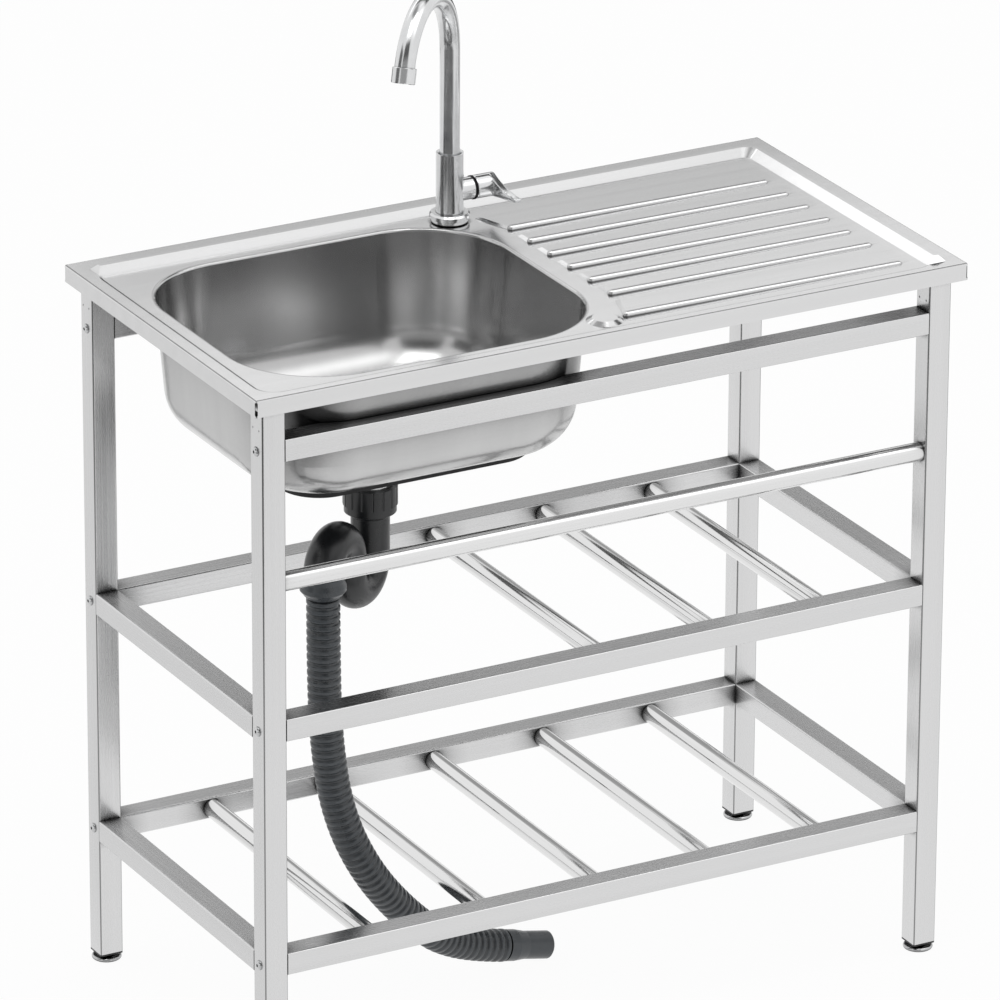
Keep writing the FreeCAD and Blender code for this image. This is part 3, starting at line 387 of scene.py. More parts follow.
    def outside(self, centre: Triple, blend: float) -> Socket:
        """Tell the outside of a vessel from its inside.

        Args:
            centre: Point inside the vessel.
            blend: Half width of the soft change between the two, in metres.

        Returns:
            Socket that is 1 on faces that look away from the point.
        """
        away = self.node("ShaderNodeVectorMath", operation="SUBTRACT")
        away.inputs[1].default_value = centre
        self.link(self.where("Object"), away.inputs[0])
        dot = self.node("ShaderNodeVectorMath", operation="DOT_PRODUCT")
        self.link(away.outputs["Vector"], dot.inputs[0])
        self.link(self.where("Normal"), dot.inputs[1])
        return self.remap(dot.outputs["Value"], (-blend, blend))

    def surface(self, colour: Socket, rough: Socket, normal: Socket | None = None,
                **values: object) -> bpy.types.Material:
        """Add the surface shader and join it to the output.

        Args:
            colour: Colour of the surface.
            rough: Its roughness.
            normal: Its relief, if it has any.
            values: Other sockets of the shader by name with spaces written as underscores.

        Returns:
            The finished material.
        """
        skin = self.node("ShaderNodeBsdfPrincipled", **values)
        self.link(colour, skin.inputs["Base Color"])
        self.link(rough, skin.inputs["Roughness"])
        if normal is not None:
            self.link(normal, skin.inputs["Normal"])
        self.link(skin.outputs["BSDF"], self.output.inputs["Surface"])
        return self.material


@dataclass(frozen=True)
class Finish:
    """Finish of a surface, with the name of its material."""

    name: str

    def make(self) -> bpy.types.Material:
        """Return the material."""
        raise NotImplementedError


@dataclass(frozen=True)
class BrushedSteel(Finish):
    """Stainless steel with a fine brushed grain."""

    grain: Grain
    tone: float = 0.69
    contrast: float = 0.014
    low_blue: float = 1.003
    high_blue: float = 1.004
    rough: Span = (0.2, 0.3)
    fine: Pattern = Pattern(1.5, 1400.0, rough=0.65)
    broad: Pattern = Pattern(0.3, 60.0)
    relief: float = 0.00002
    relief_share: float = 0.25
    underside_shade_tone: float | None = None
    under_tilt: Span = (-0.7, -0.3)
    corner_reflection_tone: float | None = None
    corner_turn: Span = (0.3, 0.5)
    edge_reflection: PaintedEdgeReflection | None = None
    painted_shade: PaintedShade = PaintedShade(0.02)

    def streaky(self, shade: Shade, broad: Socket, tone: float) -> Socket:
        """Vary one tone with the pattern of the broad streaks."""
        low, high = tone - self.contrast, tone + self.contrast
        return shade.tint(broad, (low, low, low * self.low_blue), (high, high, high * self.high_blue))

    def make(self) -> bpy.types.Material:
        """Lay out the grain, the painted shade on downward faces and near other surfaces, and the painted
        dark reflections.

        Returns:
            The material.
        """
        shade = Shade(self.name)
        fine = shade.noise(self.fine, self.grain)
        broad = shade.noise(self.broad, self.grain)
        colour = self.streaky(shade, broad, self.tone)
        # Painted shade on faces that look down.
        if self.underside_shade_tone is not None:
            under = self.streaky(shade, broad, self.underside_shade_tone)
            colour = shade.mixed(shade.upward_share(self.under_tilt), under, colour)
        # Painted dark reflection in the rounded upright corners of square tubes.
        if self.corner_reflection_tone is not None:
            corner = self.streaky(shade, broad, self.corner_reflection_tone)
            colour = shade.mixed(shade.upright_corner(self.corner_turn), colour, corner)
        # Painted dark reflection along the bent outer edge.
        if self.edge_reflection is not None:
            line = self.streaky(shade, broad, self.edge_reflection.tone)
            colour = shade.mixed(shade.edge_reflection_line(self.edge_reflection), colour, line)
        # Painted shade from ambient occlusion near other surfaces.
        return shade.surface(shade.with_painted_shade(colour, self.painted_shade), shade.remap(fine, PATTERN_RANGE, self.rough),
                             shade.bump(fine, self.relief, self.relief_share), Metallic=1.0)


@dataclass(frozen=True)
class PolishedSteel(Finish):
    """Polished tube with faint drawing marks."""

    grain: Grain
    tone: float = 0.76
    spread: float = 0.03
    rough: Span = (0.06, 0.1)
    marks: Pattern = Pattern(4.0, 900.0, rough=0.6)
    relief: float = 0.00001
    relief_share: float = 0.15
    painted_shade: PaintedShade = PaintedShade(0.02, least=0.3)

    def make(self) -> bpy.types.Material:
        """Lay out the polish with its drawing marks.

        Returns:
            The material.
        """
        shade = Shade(self.name)
        marks = shade.noise(self.marks, self.grain)
        # Painted shade from ambient occlusion near other surfaces.
        colour = shade.with_painted_shade(shade.greys(marks, self.tone, self.spread), self.painted_shade)
        return shade.surface(colour, shade.remap(marks, PATTERN_RANGE, self.rough),
                             shade.bump(marks, self.relief, self.relief_share), Metallic=1.0)


@dataclass(frozen=True)
class SatinSteel(Finish):
    """Deep-drawn sheet with a soft satin surface and faint upright drawing lines."""

    centre: Triple
    blend: float = 0.004
    tone: float = 0.52
    outer_tone: float = 0.56
    spread: float = 0.03
    rough: Span = (0.18, 0.24)
    lines: Pattern = Pattern(1.5, 30.0)
    cloud: Pattern = Pattern(5.0, 7.0)
    relief: float = 0.0001
    relief_share: float = 0.12
    painted_shade: PaintedShade = PaintedShade(0.09, least=0.08, tight=0.3)

    def make(self) -> bpy.types.Material:
        """Lay out the inside and the outside of the drawn sheet.

        Returns:
            The material.
        """
        shade = Shade(self.name)
        lines = shade.noise(self.lines)
        cloud = shade.noise(self.cloud)
        inner = shade.greys(lines, self.tone, self.spread)
        # Painted shade from ambient occlusion, on the outside of the bowl only.
        outer = shade.with_painted_shade(shade.greys(lines, self.outer_tone, self.spread), self.painted_shade)
        both = shade.mixed(shade.outside(self.centre, self.blend), inner, outer)
        return shade.surface(both, shade.remap(cloud, PATTERN_RANGE, self.rough),
                             shade.bump(lines, self.relief, self.relief_share), Metallic=1.0)


@dataclass(frozen=True)
class Plated(Finish):
    """Smooth plated or turned metal."""

    low: Triple = (0.74, 0.745, 0.75)
    high: Triple = (0.8, 0.805, 0.81)
    rough: Span = (0.1, 0.14)
    painted_shade: PaintedShade = PaintedShade(0.004, least=0.3)
    cloud: Pattern = Pattern(60.0, 60.0, 4.0, 0.6)

    def make(self) -> bpy.types.Material:
        """Lay out the smooth metal with its faint clouds.

        Returns:
            The material.
        """
        shade = Shade(self.name)
        cloud = shade.noise(self.cloud)
        # Painted shade from ambient occlusion near other surfaces.
        colour = shade.with_painted_shade(shade.tint(cloud, self.low, self.high), self.painted_shade)
        return shade.surface(colour, shade.remap(cloud, PATTERN_RANGE, self.rough), Metallic=1.0)


@dataclass(frozen=True)
class Moulded(Finish):
    """Moulded plastic or rubber with a fine grained skin."""

    low: Triple
    high: Triple
    rough: Span = (0.36, 0.5)
    shine: float = 0.5
    painted_shade: PaintedShade | None = None
    pores: Pattern = Pattern(1400.0, 1400.0, rough=0.55)
    cloud: Pattern = Pattern(45.0, 45.0, 4.0, 0.6)
    relief: float = 0.00006
    relief_share: float = 0.3

    def make(self) -> bpy.types.Material:
        """Lay out the grained skin with its faint clouds.

        Returns:
            The material.
        """
        shade = Shade(self.name)
        pores = shade.noise(self.pores)
        cloud = shade.noise(self.cloud)
        colour = shade.tint(cloud, self.low, self.high)
        # Painted shade from ambient occlusion near other surfaces, if any is set.
        if self.painted_shade is not None:
            colour = shade.with_painted_shade(colour, self.painted_shade)
        return shade.surface(colour, shade.remap(cloud, PATTERN_RANGE, self.rough),
                             shade.bump(pores, self.relief, self.relief_share),
                             Metallic=0.0, Specular_IOR_Level=self.shine)


class Finishes:
    """Makes each finish once and gives it to pieces."""

    def __init__(self) -> None:
        """Start with no materials."""
        self.made: dict[str, bpy.types.Material] = {}

    def dress(self, piece: bpy.types.Object, finish: Finish) -> None:
        """Give a piece one finish all over.

        Args:
            piece: Mesh object.
            finish: Finish for it.
        """
        if finish.name not in self.made:
            self.made[finish.name] = finish.make()
        piece.data.materials.clear()
        piece.data.materials.append(self.made[finish.name])

    def dress_nodes(self, names: Iterable[str], finish: Finish) -> None:
        """Give several solids one finish.

        Args:
            names: Names of the solids.
            finish: Finish for all of them.
        """
        for name in names:
            self.dress(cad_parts[name], finish)
            LOG.info("%s dressed as %s", name, finish.name)


def new_piece(name: str, mesh: bmesh.types.BMesh, smooth: bool = True,
              crease: float | None = None) -> bpy.types.Object:
    """Turn an edited mesh into an object of the scene.

    Args:
        name: Name of the piece.
        mesh: Edited mesh, freed here.
        smooth: Whether its faces shade smoothly.
        crease: Angle in radians above which an edge stays sharp.

    Returns:
        The new object.
    """
    data = bpy.data.meshes.new(name)
    mesh.to_mesh(data)
    mesh.free()
    for face in data.polygons:
        face.use_smooth = smooth
    if crease is not None:
        data.set_sharp_from_angle(angle=crease)
    piece = bpy.data.objects.new(name, data)
    bpy.context.scene.collection.objects.link(piece)
    return piece


def flat_sheet(width: float, height: float, level: float = 0.0) -> bmesh.types.BMesh:
    """Make one level rectangle about the origin.

    Args:
        width: Size along X.
        height: Size along Y.
        level: Place along Z.

    Returns:
        The mesh.
    """
    mesh = bmesh.new()
    corners = ((-1, -1), (1, -1), (1, 1), (-1, 1))
    mesh.faces.new([mesh.verts.new((x * width / 2, y * height / 2, level)) for x, y in corners])
    return mesh


def join_rings(mesh: bmesh.types.BMesh, rings: Sequence[Sequence[bmesh.types.BMVert]]) -> None:
    """Join rings of points into one closed skin.

    Args:
        mesh: Mesh that holds the points.
        rings: Rings from one end to the other, with as many points each.
    """
    for a, b in zip(rings, rings[1:]):
        for k in range(len(a)):
            n = (k + 1) % len(a)
            mesh.faces.new((a[k], a[n], b[n], b[k]))
    mesh.faces.new(list(reversed(rings[0])))
    mesh.faces.new(rings[-1])


def welded_copy(node: str) -> bmesh.types.BMesh:
    """Copy the mesh of a solid and join its faces along their edges.

    Args:
        node: Name of the solid.

    Returns:
        The mesh.
    """
    mesh = bmesh.new()
    mesh.from_mesh(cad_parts[node].data)
    bmesh.ops.remove_doubles(mesh, verts=mesh.verts, dist=WELD_DISTANCE)
    return mesh


def separate_points(mesh: bmesh.types.BMesh) -> list[list[Vector]]:
    """Sort the points of a mesh by the solid that they belong to.

    Args:
        mesh: Mesh of several solids.

    Returns:
        The points of each solid.
    """
    solids = []
    left = set(mesh.verts)
    for start in mesh.verts:
        if start not in left:
            continue
        left.remove(start)
        points, edge = [], [start]
        while edge:
            vert = edge.pop()
            points.append(vert.co.copy())
            near = {e.other_vert(vert) for e in vert.link_edges} & left
            left -= near
            edge += near
        solids.append(points)
    return solids


class Row(NamedTuple):
    """One row of points of a turned piece."""

    radius: float
    height: float
    hexed: bool = False


@dataclass(frozen=True)
class Turning:
    """Piece turned about its own axis, given by its rows from one end to the other."""

    rows: tuple[Row, ...]
    sides: int = 48
    thread_start: float = math.inf
    thread_pitch: float = 0.00125
    thread_depth: float = 0.0005

    def reach(self, row: Row, turn: float) -> float:
        """Distance of one point from the axis.

        Args:
            row: Row of the point.
            turn: Place round the axis, from 0 to 1.

        Returns:
            The distance in metres.
        """
        if row.hexed:
            return row.radius / math.cos(math.radians((turn * 360.0) % 60.0 - 30.0))
        if row.height > self.thread_start:
            share = (row.height / self.thread_pitch - turn) % 1.0
            return row.radius - self.thread_depth * abs(2.0 * share - 1.0)
        return row.radius

    def add_to(self, mesh: bmesh.types.BMesh, place: Matrix) -> None:
        """Add the piece to a mesh.

        Args:
            mesh: Mesh being edited.
            place: Turns and moves the piece from its own axis to where it stands.
        """
        rings = []
        for row in self.rows:
            ring = []
            for k in range(self.sides):
                reach, angle = self.reach(row, k / self.sides), 2.0 * math.pi * k / self.sides
                spot = Vector((reach * math.cos(angle), reach * math.sin(angle), row.height))
                ring.append(mesh.verts.new(place @ spot))
            rings.append(ring)
        join_rings(mesh, rings)


@dataclass(frozen=True)
class FootShape:
    """Sizes of a levelling foot."""

    rim_middle: float = 0.0142
    rim_round: float = 0.0023
    rim_start: float = -90.0
    rim_sweep: float = 190.0
    rim_steps: int = 10
    dish: tuple[Row, ...] = (
        Row(0.0112, 0.0040),
        Row(0.0088, 0.0038),
        Row(0.0071, 0.0041),
        Row(0.0063, 0.0047),
    )
    hub_radius: float = 0.006
    hub_foot: float = 0.0054
    hub_top: float = 0.0077
    hub_chamfer: float = 0.0004
    stud_radius: float = 0.004
    stud_top: float = 0.0438
    stud_tip: float = 0.0002
    stud_tip_share: float = 0.75
    thread_rows: int = 200

    def turning(self) -> Turning:
        """Set out the round rim, dished top, hub and threaded stud.

        Returns:
            The foot, standing on the floor.
        """
        rows = []
        for step in range(self.rim_steps + 1):
            angle = math.radians(self.rim_start + self.rim_sweep * step / self.rim_steps)
            rows.append(Row(self.rim_middle + self.rim_round * math.cos(angle),
                            self.rim_round * (1.0 + math.sin(angle))))
        rows += self.dish
        rows += [Row(self.hub_radius, self.hub_foot),
                 Row(self.hub_radius, self.hub_top - self.hub_chamfer),
                 Row(self.hub_radius - self.hub_chamfer, self.hub_top),
                 Row(self.stud_radius, self.hub_top)]
        length = self.stud_top - self.hub_top
        rows += [Row(self.stud_radius, self.hub_top + length * (i + 1) / self.thread_rows)
                 for i in range(self.thread_rows)]
        rows.append(Row(self.stud_radius * self.stud_tip_share, self.stud_top + self.stud_tip))
        return Turning(tuple(rows), thread_start=self.hub_top)


@dataclass(frozen=True)
class BoltShape:
    """Sizes of a dome bolt with a hexagon socket."""

    radius: float = 0.0054
    height: float = 0.0032
    dome_angles: tuple[float, ...] = (12.0, 24.0, 36.0, 48.0, 58.0, 66.0)
    socket_angle: float = 68.0
    shank_radius: float = 0.0025
    shank_length: float = 0.012
    socket_radius: float = 0.0016
    socket_depth: float = 0.0014

    def turning(self) -> Turning:
        """Set out the shank, dome and hexagon socket.

        Returns:
            The bolt, standing on its post's face.
        """
        rows = [Row(self.shank_radius, -self.shank_length),
                Row(self.shank_radius, 0.0),
                Row(self.radius, 0.0)]
        rows += [Row(self.radius * math.cos(math.radians(a)), self.height * math.sin(math.radians(a)))
                 for a in self.dome_angles]
        top = self.height * math.sin(math.radians(self.socket_angle))
        rows += [Row(self.socket_radius, top, True), Row(self.socket_radius, top - self.socket_depth, True)]
        return Turning(tuple(rows))


@dataclass
class Stand:
    """Tube stand with its rails, rods, towel bar, bolts and feet."""

    corners: tuple[str, ...] = ("front_left", "front_right", "rear_left", "rear_right")
    upper_rods: int = 3
    lower_rods: int = 5
    # The settings below paint shade near other parts, and the posts also get a painted dark reflection in
    # their rounded corners.
    post: Finish = BrushedSteel("brushed_post", Grain.ALONG_Z, corner_reflection_tone=0.24,
                                painted_shade=PaintedShade(0.02, least=0.05, tight=0.5, open=0.75))
    long_rail: Finish = BrushedSteel("brushed_long_rail", Grain.ALONG_X,
                                     painted_shade=PaintedShade(0.035, least=0.06, tight=0.5, open=0.97))
    side_rail: Finish = BrushedSteel("brushed_side_rail", Grain.ALONG_Y,
                                     painted_shade=PaintedShade(0.035, least=0.15, tight=0.5, open=0.97))
    rod: Finish = PolishedSteel("drawn_rod", Grain.ALONG_Y, painted_shade=PaintedShade(0.02, least=0.1, tight=0.5))
    bar: Finish = PolishedSteel("drawn_bar", Grain.ALONG_X, rough=(0.14, 0.2))
    plated: Finish = Plated("bright_plating", (0.56, 0.565, 0.57), (0.62, 0.625, 0.63),
                            painted_shade=PaintedShade(0.01, least=0.12))
    plug: Finish = Moulded("leg_plug_black", (0.012, 0.012, 0.013), (0.02, 0.02, 0.021))
    socket: Finish = Moulded("corner_socket_black", (0.01, 0.01, 0.011), (0.016, 0.016, 0.017))
    foot_shape: FootShape = FootShape()
    bolt_shape: BoltShape = BoltShape()
    crease: float = math.radians(40.0)

    def foot(self, name: str) -> bpy.types.Object:
        """Turn one levelling foot.

        Args:
            name: Name of its solid.

        Returns:
            The new piece.
        """
        low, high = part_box(name)
        place = Matrix.Translation(((low[0] + high[0]) / 2, (low[1] + high[1]) / 2, 0.0))
        mesh = bmesh.new()
        self.foot_shape.turning().add_to(mesh, place)
        return new_piece(name + "_turned", mesh, crease=self.crease)

    def bolts(self) -> bpy.types.Object:
        """Turn all bolts where their solids stand.

        Returns:
            The new piece.
        """
        solids = welded_copy("frame_bolts")
        mesh = bmesh.new()
        for points in separate_points(solids):
            side = math.copysign(1.0, points[0].x)
            face = max(abs(p.x) for p in points) - self.bolt_shape.height
            y, z = [(min(p[i] for p in points) + max(p[i] for p in points)) / 2 for i in (1, 2)]
            turn = Vector((side, 0.0, 0.0)).to_track_quat("Z", "Y").to_matrix().to_4x4()
            self.bolt_shape.turning().add_to(mesh, Matrix.Translation((side * face, y, z)) @ turn)
        solids.free()
        return new_piece("frame_bolts_turned", mesh, crease=self.crease)

    def dress(self, finishes: Finishes) -> None:
        """Build the feet and bolts and give the stand its finishes.

        Args:
            finishes: Store of materials.
        """
        finishes.dress_nodes(["post_" + c for c in self.corners], self.post)
        finishes.dress_nodes(["corner_sockets"], self.socket)
        for level in ("apron", "upper", "lower"):
            finishes.dress_nodes([level + "_rail_" + side for side in ("front", "rear")], self.long_rail)
        for level in ("upper", "lower"):
            finishes.dress_nodes([level + "_rail_" + side for side in ("left", "right")], self.side_rail)
        for level, count in (("upper", self.upper_rods), ("lower", self.lower_rods)):
            finishes.dress_nodes(["%s_rod_%d" % (level, i + 1) for i in range(count)], self.rod)
        finishes.dress_nodes(["towel_bar"], self.bar)
        finishes.dress_nodes(["rail_inserts"], self.plated)
        for name in ["foot_" + c for c in self.corners]:
            self.fit(finishes, self.foot(name), name, name)
        self.fit(finishes, self.bolts(), "frame_bolts", Body.STAND.value)
        finishes.dress_nodes(["leg_plugs"], self.plug)

    def fit(self, finishes: Finishes, piece: bpy.types.Object, node: str, body: str) -> None:
        """Put a turned piece in the place of its solid.

        Args:
            finishes: Store of materials.
            piece: New piece.
            node: Solid that it stands for.
            body: Body that it moves with.
        """
        finishes.dress(piece, self.plated)
        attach(piece, body)
        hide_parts(node)
        LOG.info("%s turned", piece.name)


@dataclass
class Basin:
    """Worktop, bowl and waste."""

    # The worktop gets painted shade on its underside and near other parts, and a painted dark reflection
    # along its bent edge.
    top: Finish = BrushedSteel("brushed_worktop", Grain.ALONG_X, tone=0.7, rough=(0.15, 0.22),
                               underside_shade_tone=0.36, edge_reflection=PaintedEdgeReflection(half_width=0.423, half_depth=0.221),
                               painted_shade=PaintedShade(0.006))
    bowl: Finish = SatinSteel("satin_bowl", centre=(-0.19, -0.02, 0.8))
    # Darker, rougher steel for the basket; its darker tone is painted shade standing in for the dark holes of
    # a perforated basket.
    basket: Finish = Plated("basket_steel_painted_shade", (0.4, 0.4, 0.4), (0.46, 0.46, 0.46), rough=(0.2, 0.3),
                            painted_shade=PaintedShade(0.03, least=0.2))
    waste: Finish = Plated("waste_steel", rough=(0.12, 0.2))
    rubber: Finish = Moulded("seal_rubber", (0.008, 0.008, 0.009), (0.014, 0.014, 0.015), rough=(0.55, 0.75))

    def dress(self, finishes: Finishes) -> None:
        """Give the basin its finishes.

        Args:
            finishes: Store of materials.
        """
        finishes.dress_nodes(["worktop"], self.top)
        finishes.dress_nodes(["bowl"], self.bowl)
        finishes.dress_nodes(["drain_body", "drain_locknut"], self.waste)
        finishes.dress_nodes(["strainer_basket"], self.basket)
        finishes.dress_nodes(["sound_pad", "drain_seal", "trap_seal"], self.rubber)


@dataclass
class Faucet:
    """Gooseneck faucet with its side lever."""

    # The chrome gets faint painted shade right against other parts.
    chrome: Finish = Plated("faucet_chrome", (0.66, 0.665, 0.67), (0.72, 0.725, 0.73), rough=(0.15, 0.2),
                            painted_shade=PaintedShade(0.002, least=0.5))
    brass: Finish = Plated("turned_brass", (0.62, 0.48, 0.24), (0.72, 0.57, 0.3), rough=(0.22, 0.34))
    rubber: Finish = Moulded("faucet_rubber", (0.004, 0.004, 0.005), (0.007, 0.007, 0.008), rough=(0.5, 0.7),
                             shine=0.15)
    nylon: Finish = Moulded("aerator_nylon", (0.5, 0.5, 0.49), (0.6, 0.6, 0.59))
    casting_step: float = 0.0006
    casting_share: float = 0.5
    casting_passes: int = 26

    def lever(self) -> bpy.types.Object:
        """Make the lever with the soft edges of a casting.

        Returns:
            The new piece.
        """
        block = new_piece("handle_block", welded_copy("handle"))
        skin = block.modifiers.new("casting_skin", "REMESH")
        skin.mode = "VOXEL"
        skin.voxel_size = self.casting_step
        soften = block.modifiers.new("casting_edges", "SMOOTH")
        soften.factor = self.casting_share
        soften.iterations = self.casting_passes
        bpy.context.view_layer.update()
        cast = bmesh.new()
        cast.from_object(block, bpy.context.evaluated_depsgraph_get())
        bpy.data.objects.remove(block)
        return new_piece("handle_lever", cast)

    def dress(self, finishes: Finishes) -> None:
        """Build the lever and give the faucet its finishes.

        Args:
            finishes: Store of materials.
        """
        finishes.dress_nodes(["faucet_body", "spout", "aerator"], self.chrome)
        lever = self.lever()
        finishes.dress(lever, self.chrome)
        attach(lever, Body.HANDLE.value)
        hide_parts("handle")
        LOG.info("%s cast", lever.name)
        finishes.dress_nodes(["faucet_shank", "faucet_locknut", "valve_spindle", "handle_screw"], self.brass)
        finishes.dress_nodes(["faucet_gasket", "faucet_washer", "stem_ring"], self.rubber)
        finishes.dress_nodes(["aerator_insert", "spout_sleeve"], self.nylon)


@dataclass
class Waste:
    """Trap and ribbed drain hose."""

    crest_radius: float = 0.0182
    root_radius: float = 0.0158
    rib_pitch: float = 0.0091
    rib_root_share: float = 0.12
    rib_flank_share: float = 0.18
    rings_per_rib: int = 10
    sides: int = 32
    line_steps: int = 48
    line_order: int = 3
    route: tuple[Triple, ...] = (
        (-0.27588, -0.08329, 0.5092),
        (-0.2758, -0.0833, 0.425),
        (-0.2728, -0.0835, 0.337),
        (-0.2588, -0.0835, 0.2527),
        (-0.2238, -0.0815, 0.1767),
        (-0.1648, -0.0660, 0.1047),
        (-0.098, -0.0434, 0.0465),
        (-0.0315, -0.0365, 0.03),
    )
    trap: Finish = Moulded("trap_charcoal", (0.009, 0.01, 0.011), (0.014, 0.015, 0.017), rough=(0.26, 0.34),
                           shine=0.6)
    # The hose gets painted shade in the grooves between its ribs and near other parts.
    hose: Finish = Moulded("hose_charcoal", (0.02, 0.026, 0.032), (0.03, 0.038, 0.046), rough=(0.26, 0.34),
                           shine=0.8, painted_shade=PaintedShade(0.005, least=0.2, tight=0.45))

    def centre_line(self) -> list[Vector]:
        """Read the smooth line of the hose from a curve along its route.

        Returns:
            Points in order from the trap to the free end.
        """
        curve = bpy.data.curves.new("hose_line", "CURVE")
        curve.dimensions = "3D"
        curve.resolution_u = self.line_steps
        spline = curve.splines.new("NURBS")
        spline.points.add(len(self.route) - 1)
        for point, place in zip(spline.points, self.route):
            point.co = (*place, 1.0)
        spline.order_u = self.line_order
        spline.use_endpoint_u = True
        holder = bpy.data.objects.new("hose_line", curve)
        bpy.context.scene.collection.objects.link(holder)
        bpy.context.view_layer.update()
        shown = holder.evaluated_get(bpy.context.evaluated_depsgraph_get())
        mesh = bpy.data.meshes.new_from_object(shown)
        line = [v.co.copy() for v in mesh.vertices]
        bpy.data.objects.remove(holder)
        bpy.data.meshes.remove(mesh)
        return line

    def rib_radius(self, share: float) -> float:
        """Radius of the hose at a place within one rib.

        Args:
            share: Place in the rib, from 0 to 1.

        Returns:
            The radius in metres.
        """
        from_end = 0.5 - abs(share - 0.5)
        rise = min(1.0, max(0.0, (from_end - self.rib_root_share) / self.rib_flank_share))
        smooth = rise * rise * (3.0 - 2.0 * rise)
        return self.root_radius + (self.crest_radius - self.root_radius) * smooth

    def build(self, line: list[Vector]) -> bpy.types.Object:
        """Make the ribbed hose along its line.

        Args:
            line: Points that it follows.

        Returns:
            The new piece.
        """
        reach = [0.0]
        for a, b in zip(line, line[1:]):
            reach.append(reach[-1] + (b - a).length)
        count = round(reach[-1] / self.rib_pitch) * self.rings_per_rib
        mesh = bmesh.new()
        rings = []
        side = Vector(TO_BACK)
        at = 0
        for i in range(count + 1):
            along = reach[-1] * i / count
            while at < len(line) - 2 and reach[at + 1] < along:
                at += 1
            way = (line[at + 1] - line[at]).normalized()
            centre = line[at] + way * (along - reach[at])
            side = (side - way * side.dot(way)).normalized()
            across = way.cross(side)
            radius = self.rib_radius((i / self.rings_per_rib) % 1.0)
            ring = []
            for k in range(self.sides):
                angle = 2.0 * math.pi * k / self.sides
                out = side * math.cos(angle) + across * math.sin(angle)
                ring.append(mesh.verts.new(centre + out * radius))
            rings.append(ring)
        join_rings(mesh, rings)
        bmesh.ops.recalc_face_normals(mesh, faces=mesh.faces)
        return new_piece("drain_hose_ribbed", mesh)

    def dress(self, finishes: Finishes) -> None:
        """Build the hose and give the trap and hose their finishes.

        Args:
            finishes: Store of materials.
        """
        finishes.dress_nodes(["coupling_nut", "trap_pipe"], self.trap)
        finishes.dress_nodes(["hose_cuff", "hose_end_cuff"], self.hose)
        line = self.centre_line()
        piece = self.build(line)
        finishes.dress(piece, self.hose)
        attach(piece, Body.STAND.value)
        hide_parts("drain_hose")


@dataclass(frozen=True)
class Card:
    """Flat card that the bright metal mirrors, with soft edges and at most one change of tone to its head."""

    name: str
    centre: Triple
    facing: Triple
    size: Span
    tone: float
    head_tone: float | None = None
    change: Span = (0.0, 1.0)
    soft_edge: float = 0.12
    up: Triple = UP

    def faded(self, shade: Shade, spot: Socket) -> Socket:
        """Fade out towards both ends of one direction.

        Args:
            shade: Material being laid out.
            spot: Place along the card, from 0 to 1.

        Returns:
            Socket that is 1 inside and 0 at the ends.
        """
        near = shade.node("ShaderNodeMath", operation="PINGPONG")
        near.inputs[1].default_value = 0.5
        shade.link(spot, near.inputs[0])
        fade = shade.node("ShaderNodeMapRange", interpolation_type="SMOOTHSTEP", From_Max=self.soft_edge)
        shade.link(near.outputs[0], fade.inputs["Value"])
        return fade.outputs["Result"]

    def make(self) -> bpy.types.Material:
        """Lay out the glow, which fades towards the edges.

        Returns:
            The material.
        """
        shade = Shade(self.name)
        across, along, _ = shade.parts(shade.where("Generated"))
        glow = shade.node("ShaderNodeEmission", Color=WHITE, Strength=self.tone)
        if self.head_tone is not None:
            shade.link(shade.remap(along, self.change, (self.tone, self.head_tone)), glow.inputs["Strength"])
        inside = shade.join("MULTIPLY", self.faded(shade, across), self.faded(shade, along))
        clear = shade.node("ShaderNodeBsdfTransparent")
        both = shade.mixed_shader(inside, clear.outputs[0], glow.outputs[0])
        shade.link(both, shade.output.inputs["Surface"])
        return shade.material

    def build(self) -> None:
        """Stand the card up, seen only in mirrored rays."""
        piece = new_piece(self.name, flat_sheet(*self.size), smooth=False)
        piece.location = self.centre
        piece.rotation_mode = "QUATERNION"
        out = Vector(self.facing).normalized()
        up = (Vector(self.up) - out * out.dot(Vector(self.up))).normalized()
        piece.rotation_quaternion = Matrix((up.cross(out), up, out)).transposed().to_quaternion()
        piece.visible_camera = False
        piece.visible_diffuse = False
        piece.visible_shadow = False
        piece.visible_transmission = False
        piece.data.materials.append(self.make())


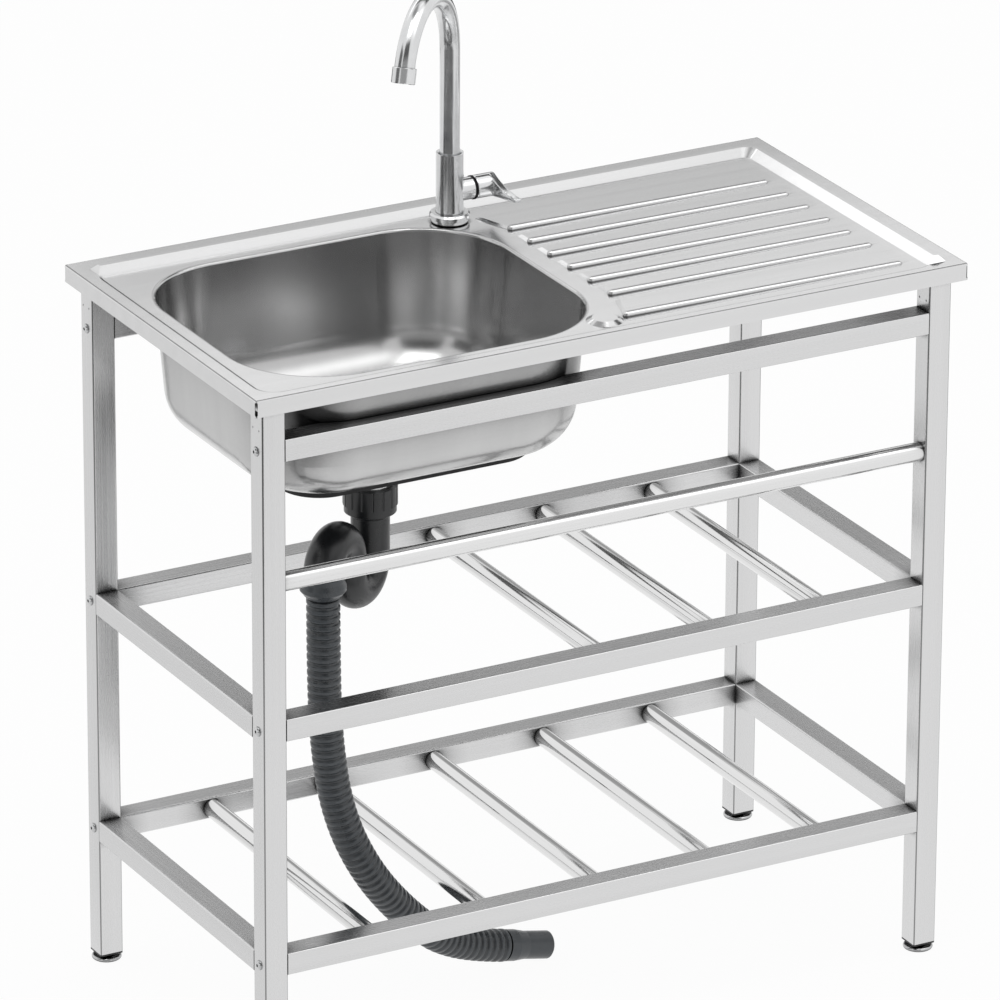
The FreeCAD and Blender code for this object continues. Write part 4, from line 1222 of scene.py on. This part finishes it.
@dataclass
class Studio:
    """Camera, floor and light."""

    eye: Triple = (-4.18600, -7.61739, 4.09826)
    turn: tuple[float, float, float, float] = (0.8050642, 0.5393951, -0.1392524, -0.2037971)
    lens: float = 315.2072
    sensor: float = 36.0
    clip: Span = (0.1, 200.0)
    floor_size: float = 40.0
    floor_level: float = -0.0005
    floor_tone: float = 0.86
    floor_glow: float = 0.95
    soft_light: float = 0.75
    lamp_place: Triple = (-0.25, -0.3, 4.0)
    lamp_aim: Triple = (0.0, 0.0, 0.8)
    lamp_size: float = 2.0
    lamp_power: float = 25.0
    cards: tuple[Card, ...] = (
        Card("rear_grey", (1.45, 1.62, 1.28), TO_FRONT, (2.7, 1.46), 0.38, head_tone=1.06,
             change=(0.552, 0.672), soft_edge=0.1),
        Card("rear_bright", (0.15, 1.58, 2.1), TO_FRONT, (1.8, 0.6), 1.65, soft_edge=0.2),
        Card("rear_high_dark", (1.82, 2.22, 3.6), (-0.444, -0.555, -0.703), (5.0, 1.7), 0.06),
        Card("top_bright", (1.6, 0.85, 3.9), DOWN, (1.9, 0.8), 1.35, soft_edge=0.3, up=TO_BACK),
        Card("rear_low_dark", (0.4, 0.62, 0.872), TO_FRONT, (1.5, 0.085), 0.1),
        Card("front_bright", (1.53, -0.96, 3.32), (-0.444, 0.32, -0.837), (3.4, 2.6), 2.1, soft_edge=0.5),
        Card("side_dark", (-1.98, -3.05, 3.25), (0.53, 0.85, 0.0), (5.0, 6.5), 0.4, head_tone=0.1,
             change=(0.4, 0.55), soft_edge=0.1),
        Card("left_dark", (-3.2, 0.3, 2.3), TO_RIGHT, (2.6, 2.6), 0.15, soft_edge=0.2),
        Card("floor_dark", (-1.88, -1.87, 0.002), UP, (6.0, 2.5), 0.15, soft_edge=0.1, up=(0.68, 0.73, 0.0)),
        Card("over_grey", (0.0, 0.9, 3.6), (0.0, -0.3, -0.95), (1.5, 2.0), 0.35, soft_edge=0.25, up=TO_BACK),
        Card("floor_right_grey", (2.3, 0.3, 0.003), UP, (1.6, 2.4), 0.42, soft_edge=0.2, up=TO_BACK),
        Card("floor_left_grey", (-1.35, 0.95, 0.003), UP, (2.1, 3.4), 0.86, up=TO_BACK),
    )

    def camera(self) -> None:
        """Place the camera where the photograph was taken from."""
        data = bpy.data.cameras.new("photo_camera")
        data.lens = self.lens
        data.sensor_width = self.sensor
        data.sensor_fit = "HORIZONTAL"
        data.clip_start, data.clip_end = self.clip
        made = bpy.data.objects.new("photo_camera", data)
        made.location = self.eye
        made.rotation_mode = "QUATERNION"
        made.rotation_quaternion = Quaternion(self.turn)
        bpy.context.scene.collection.objects.link(made)
        bpy.context.scene.camera = made

    def world(self) -> None:
        """Make the white surroundings."""
        world = bpy.data.worlds.new("white_room")
        bpy.context.scene.world = world
        world.use_nodes = True
        nodes = Nodes(world.node_tree)
        seen = nodes.node("ShaderNodeBackground", Color=WHITE, Strength=1.0)
        soft = nodes.node("ShaderNodeBackground", Color=WHITE, Strength=self.soft_light)
        out = nodes.node("ShaderNodeOutputWorld")
        both = nodes.mixed_shader(nodes.seen_share(), soft.outputs[0], seen.outputs[0])
        nodes.link(both, out.inputs["Surface"])

    def floor(self) -> None:
        """Lay a plain white floor that keeps a faint shadow."""
        sheet = flat_sheet(self.floor_size, self.floor_size, self.floor_level)
        piece = new_piece("floor", sheet, smooth=False)
        shade = Shade("floor_white")
        matt = shade.node("ShaderNodeBsdfDiffuse", Color=(*(self.floor_tone,) * 3, 1.0))
        glow = shade.node("ShaderNodeEmission", Color=WHITE, Strength=1.0)
        share = shade.remap(shade.seen_share(), (0.0, 1.0), (0.0, self.floor_glow))
        both = shade.mixed_shader(share, matt.outputs[0], glow.outputs[0])
        shade.link(both, shade.output.inputs["Surface"])
        piece.data.materials.append(shade.material)

    def lamp(self) -> None:
        """Hang one soft lamp over the object."""
        data = bpy.data.lights.new("top_softbox", "AREA")
        data.size = self.lamp_size
        data.energy = self.lamp_power
        made = bpy.data.objects.new("top_softbox", data)
        made.location = self.lamp_place
        made.rotation_mode = "QUATERNION"
        way = Vector(self.lamp_aim) - Vector(self.lamp_place)
        made.rotation_quaternion = way.to_track_quat("-Z", "Y")
        bpy.context.scene.collection.objects.link(made)

    def build(self) -> None:
        """Set up the whole studio."""
        bpy.context.scene.view_settings.view_transform = "Standard"
        self.camera()
        self.world()
        self.floor()
        self.lamp()
        for card in self.cards:
            card.build()
            LOG.info("%s card placed", card.name)


def main() -> None:
    """Build the studio and the sub-assemblies in order."""
    logging.basicConfig(level=logging.INFO)
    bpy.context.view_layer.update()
    Studio().build()
    finishes = Finishes()
    for assembly in (Stand(), Basin(), Faucet(), Waste()):
        assembly.dress(finishes)
        LOG.info("%s done", type(assembly).__name__)


if __name__ == "__main__":
    main()
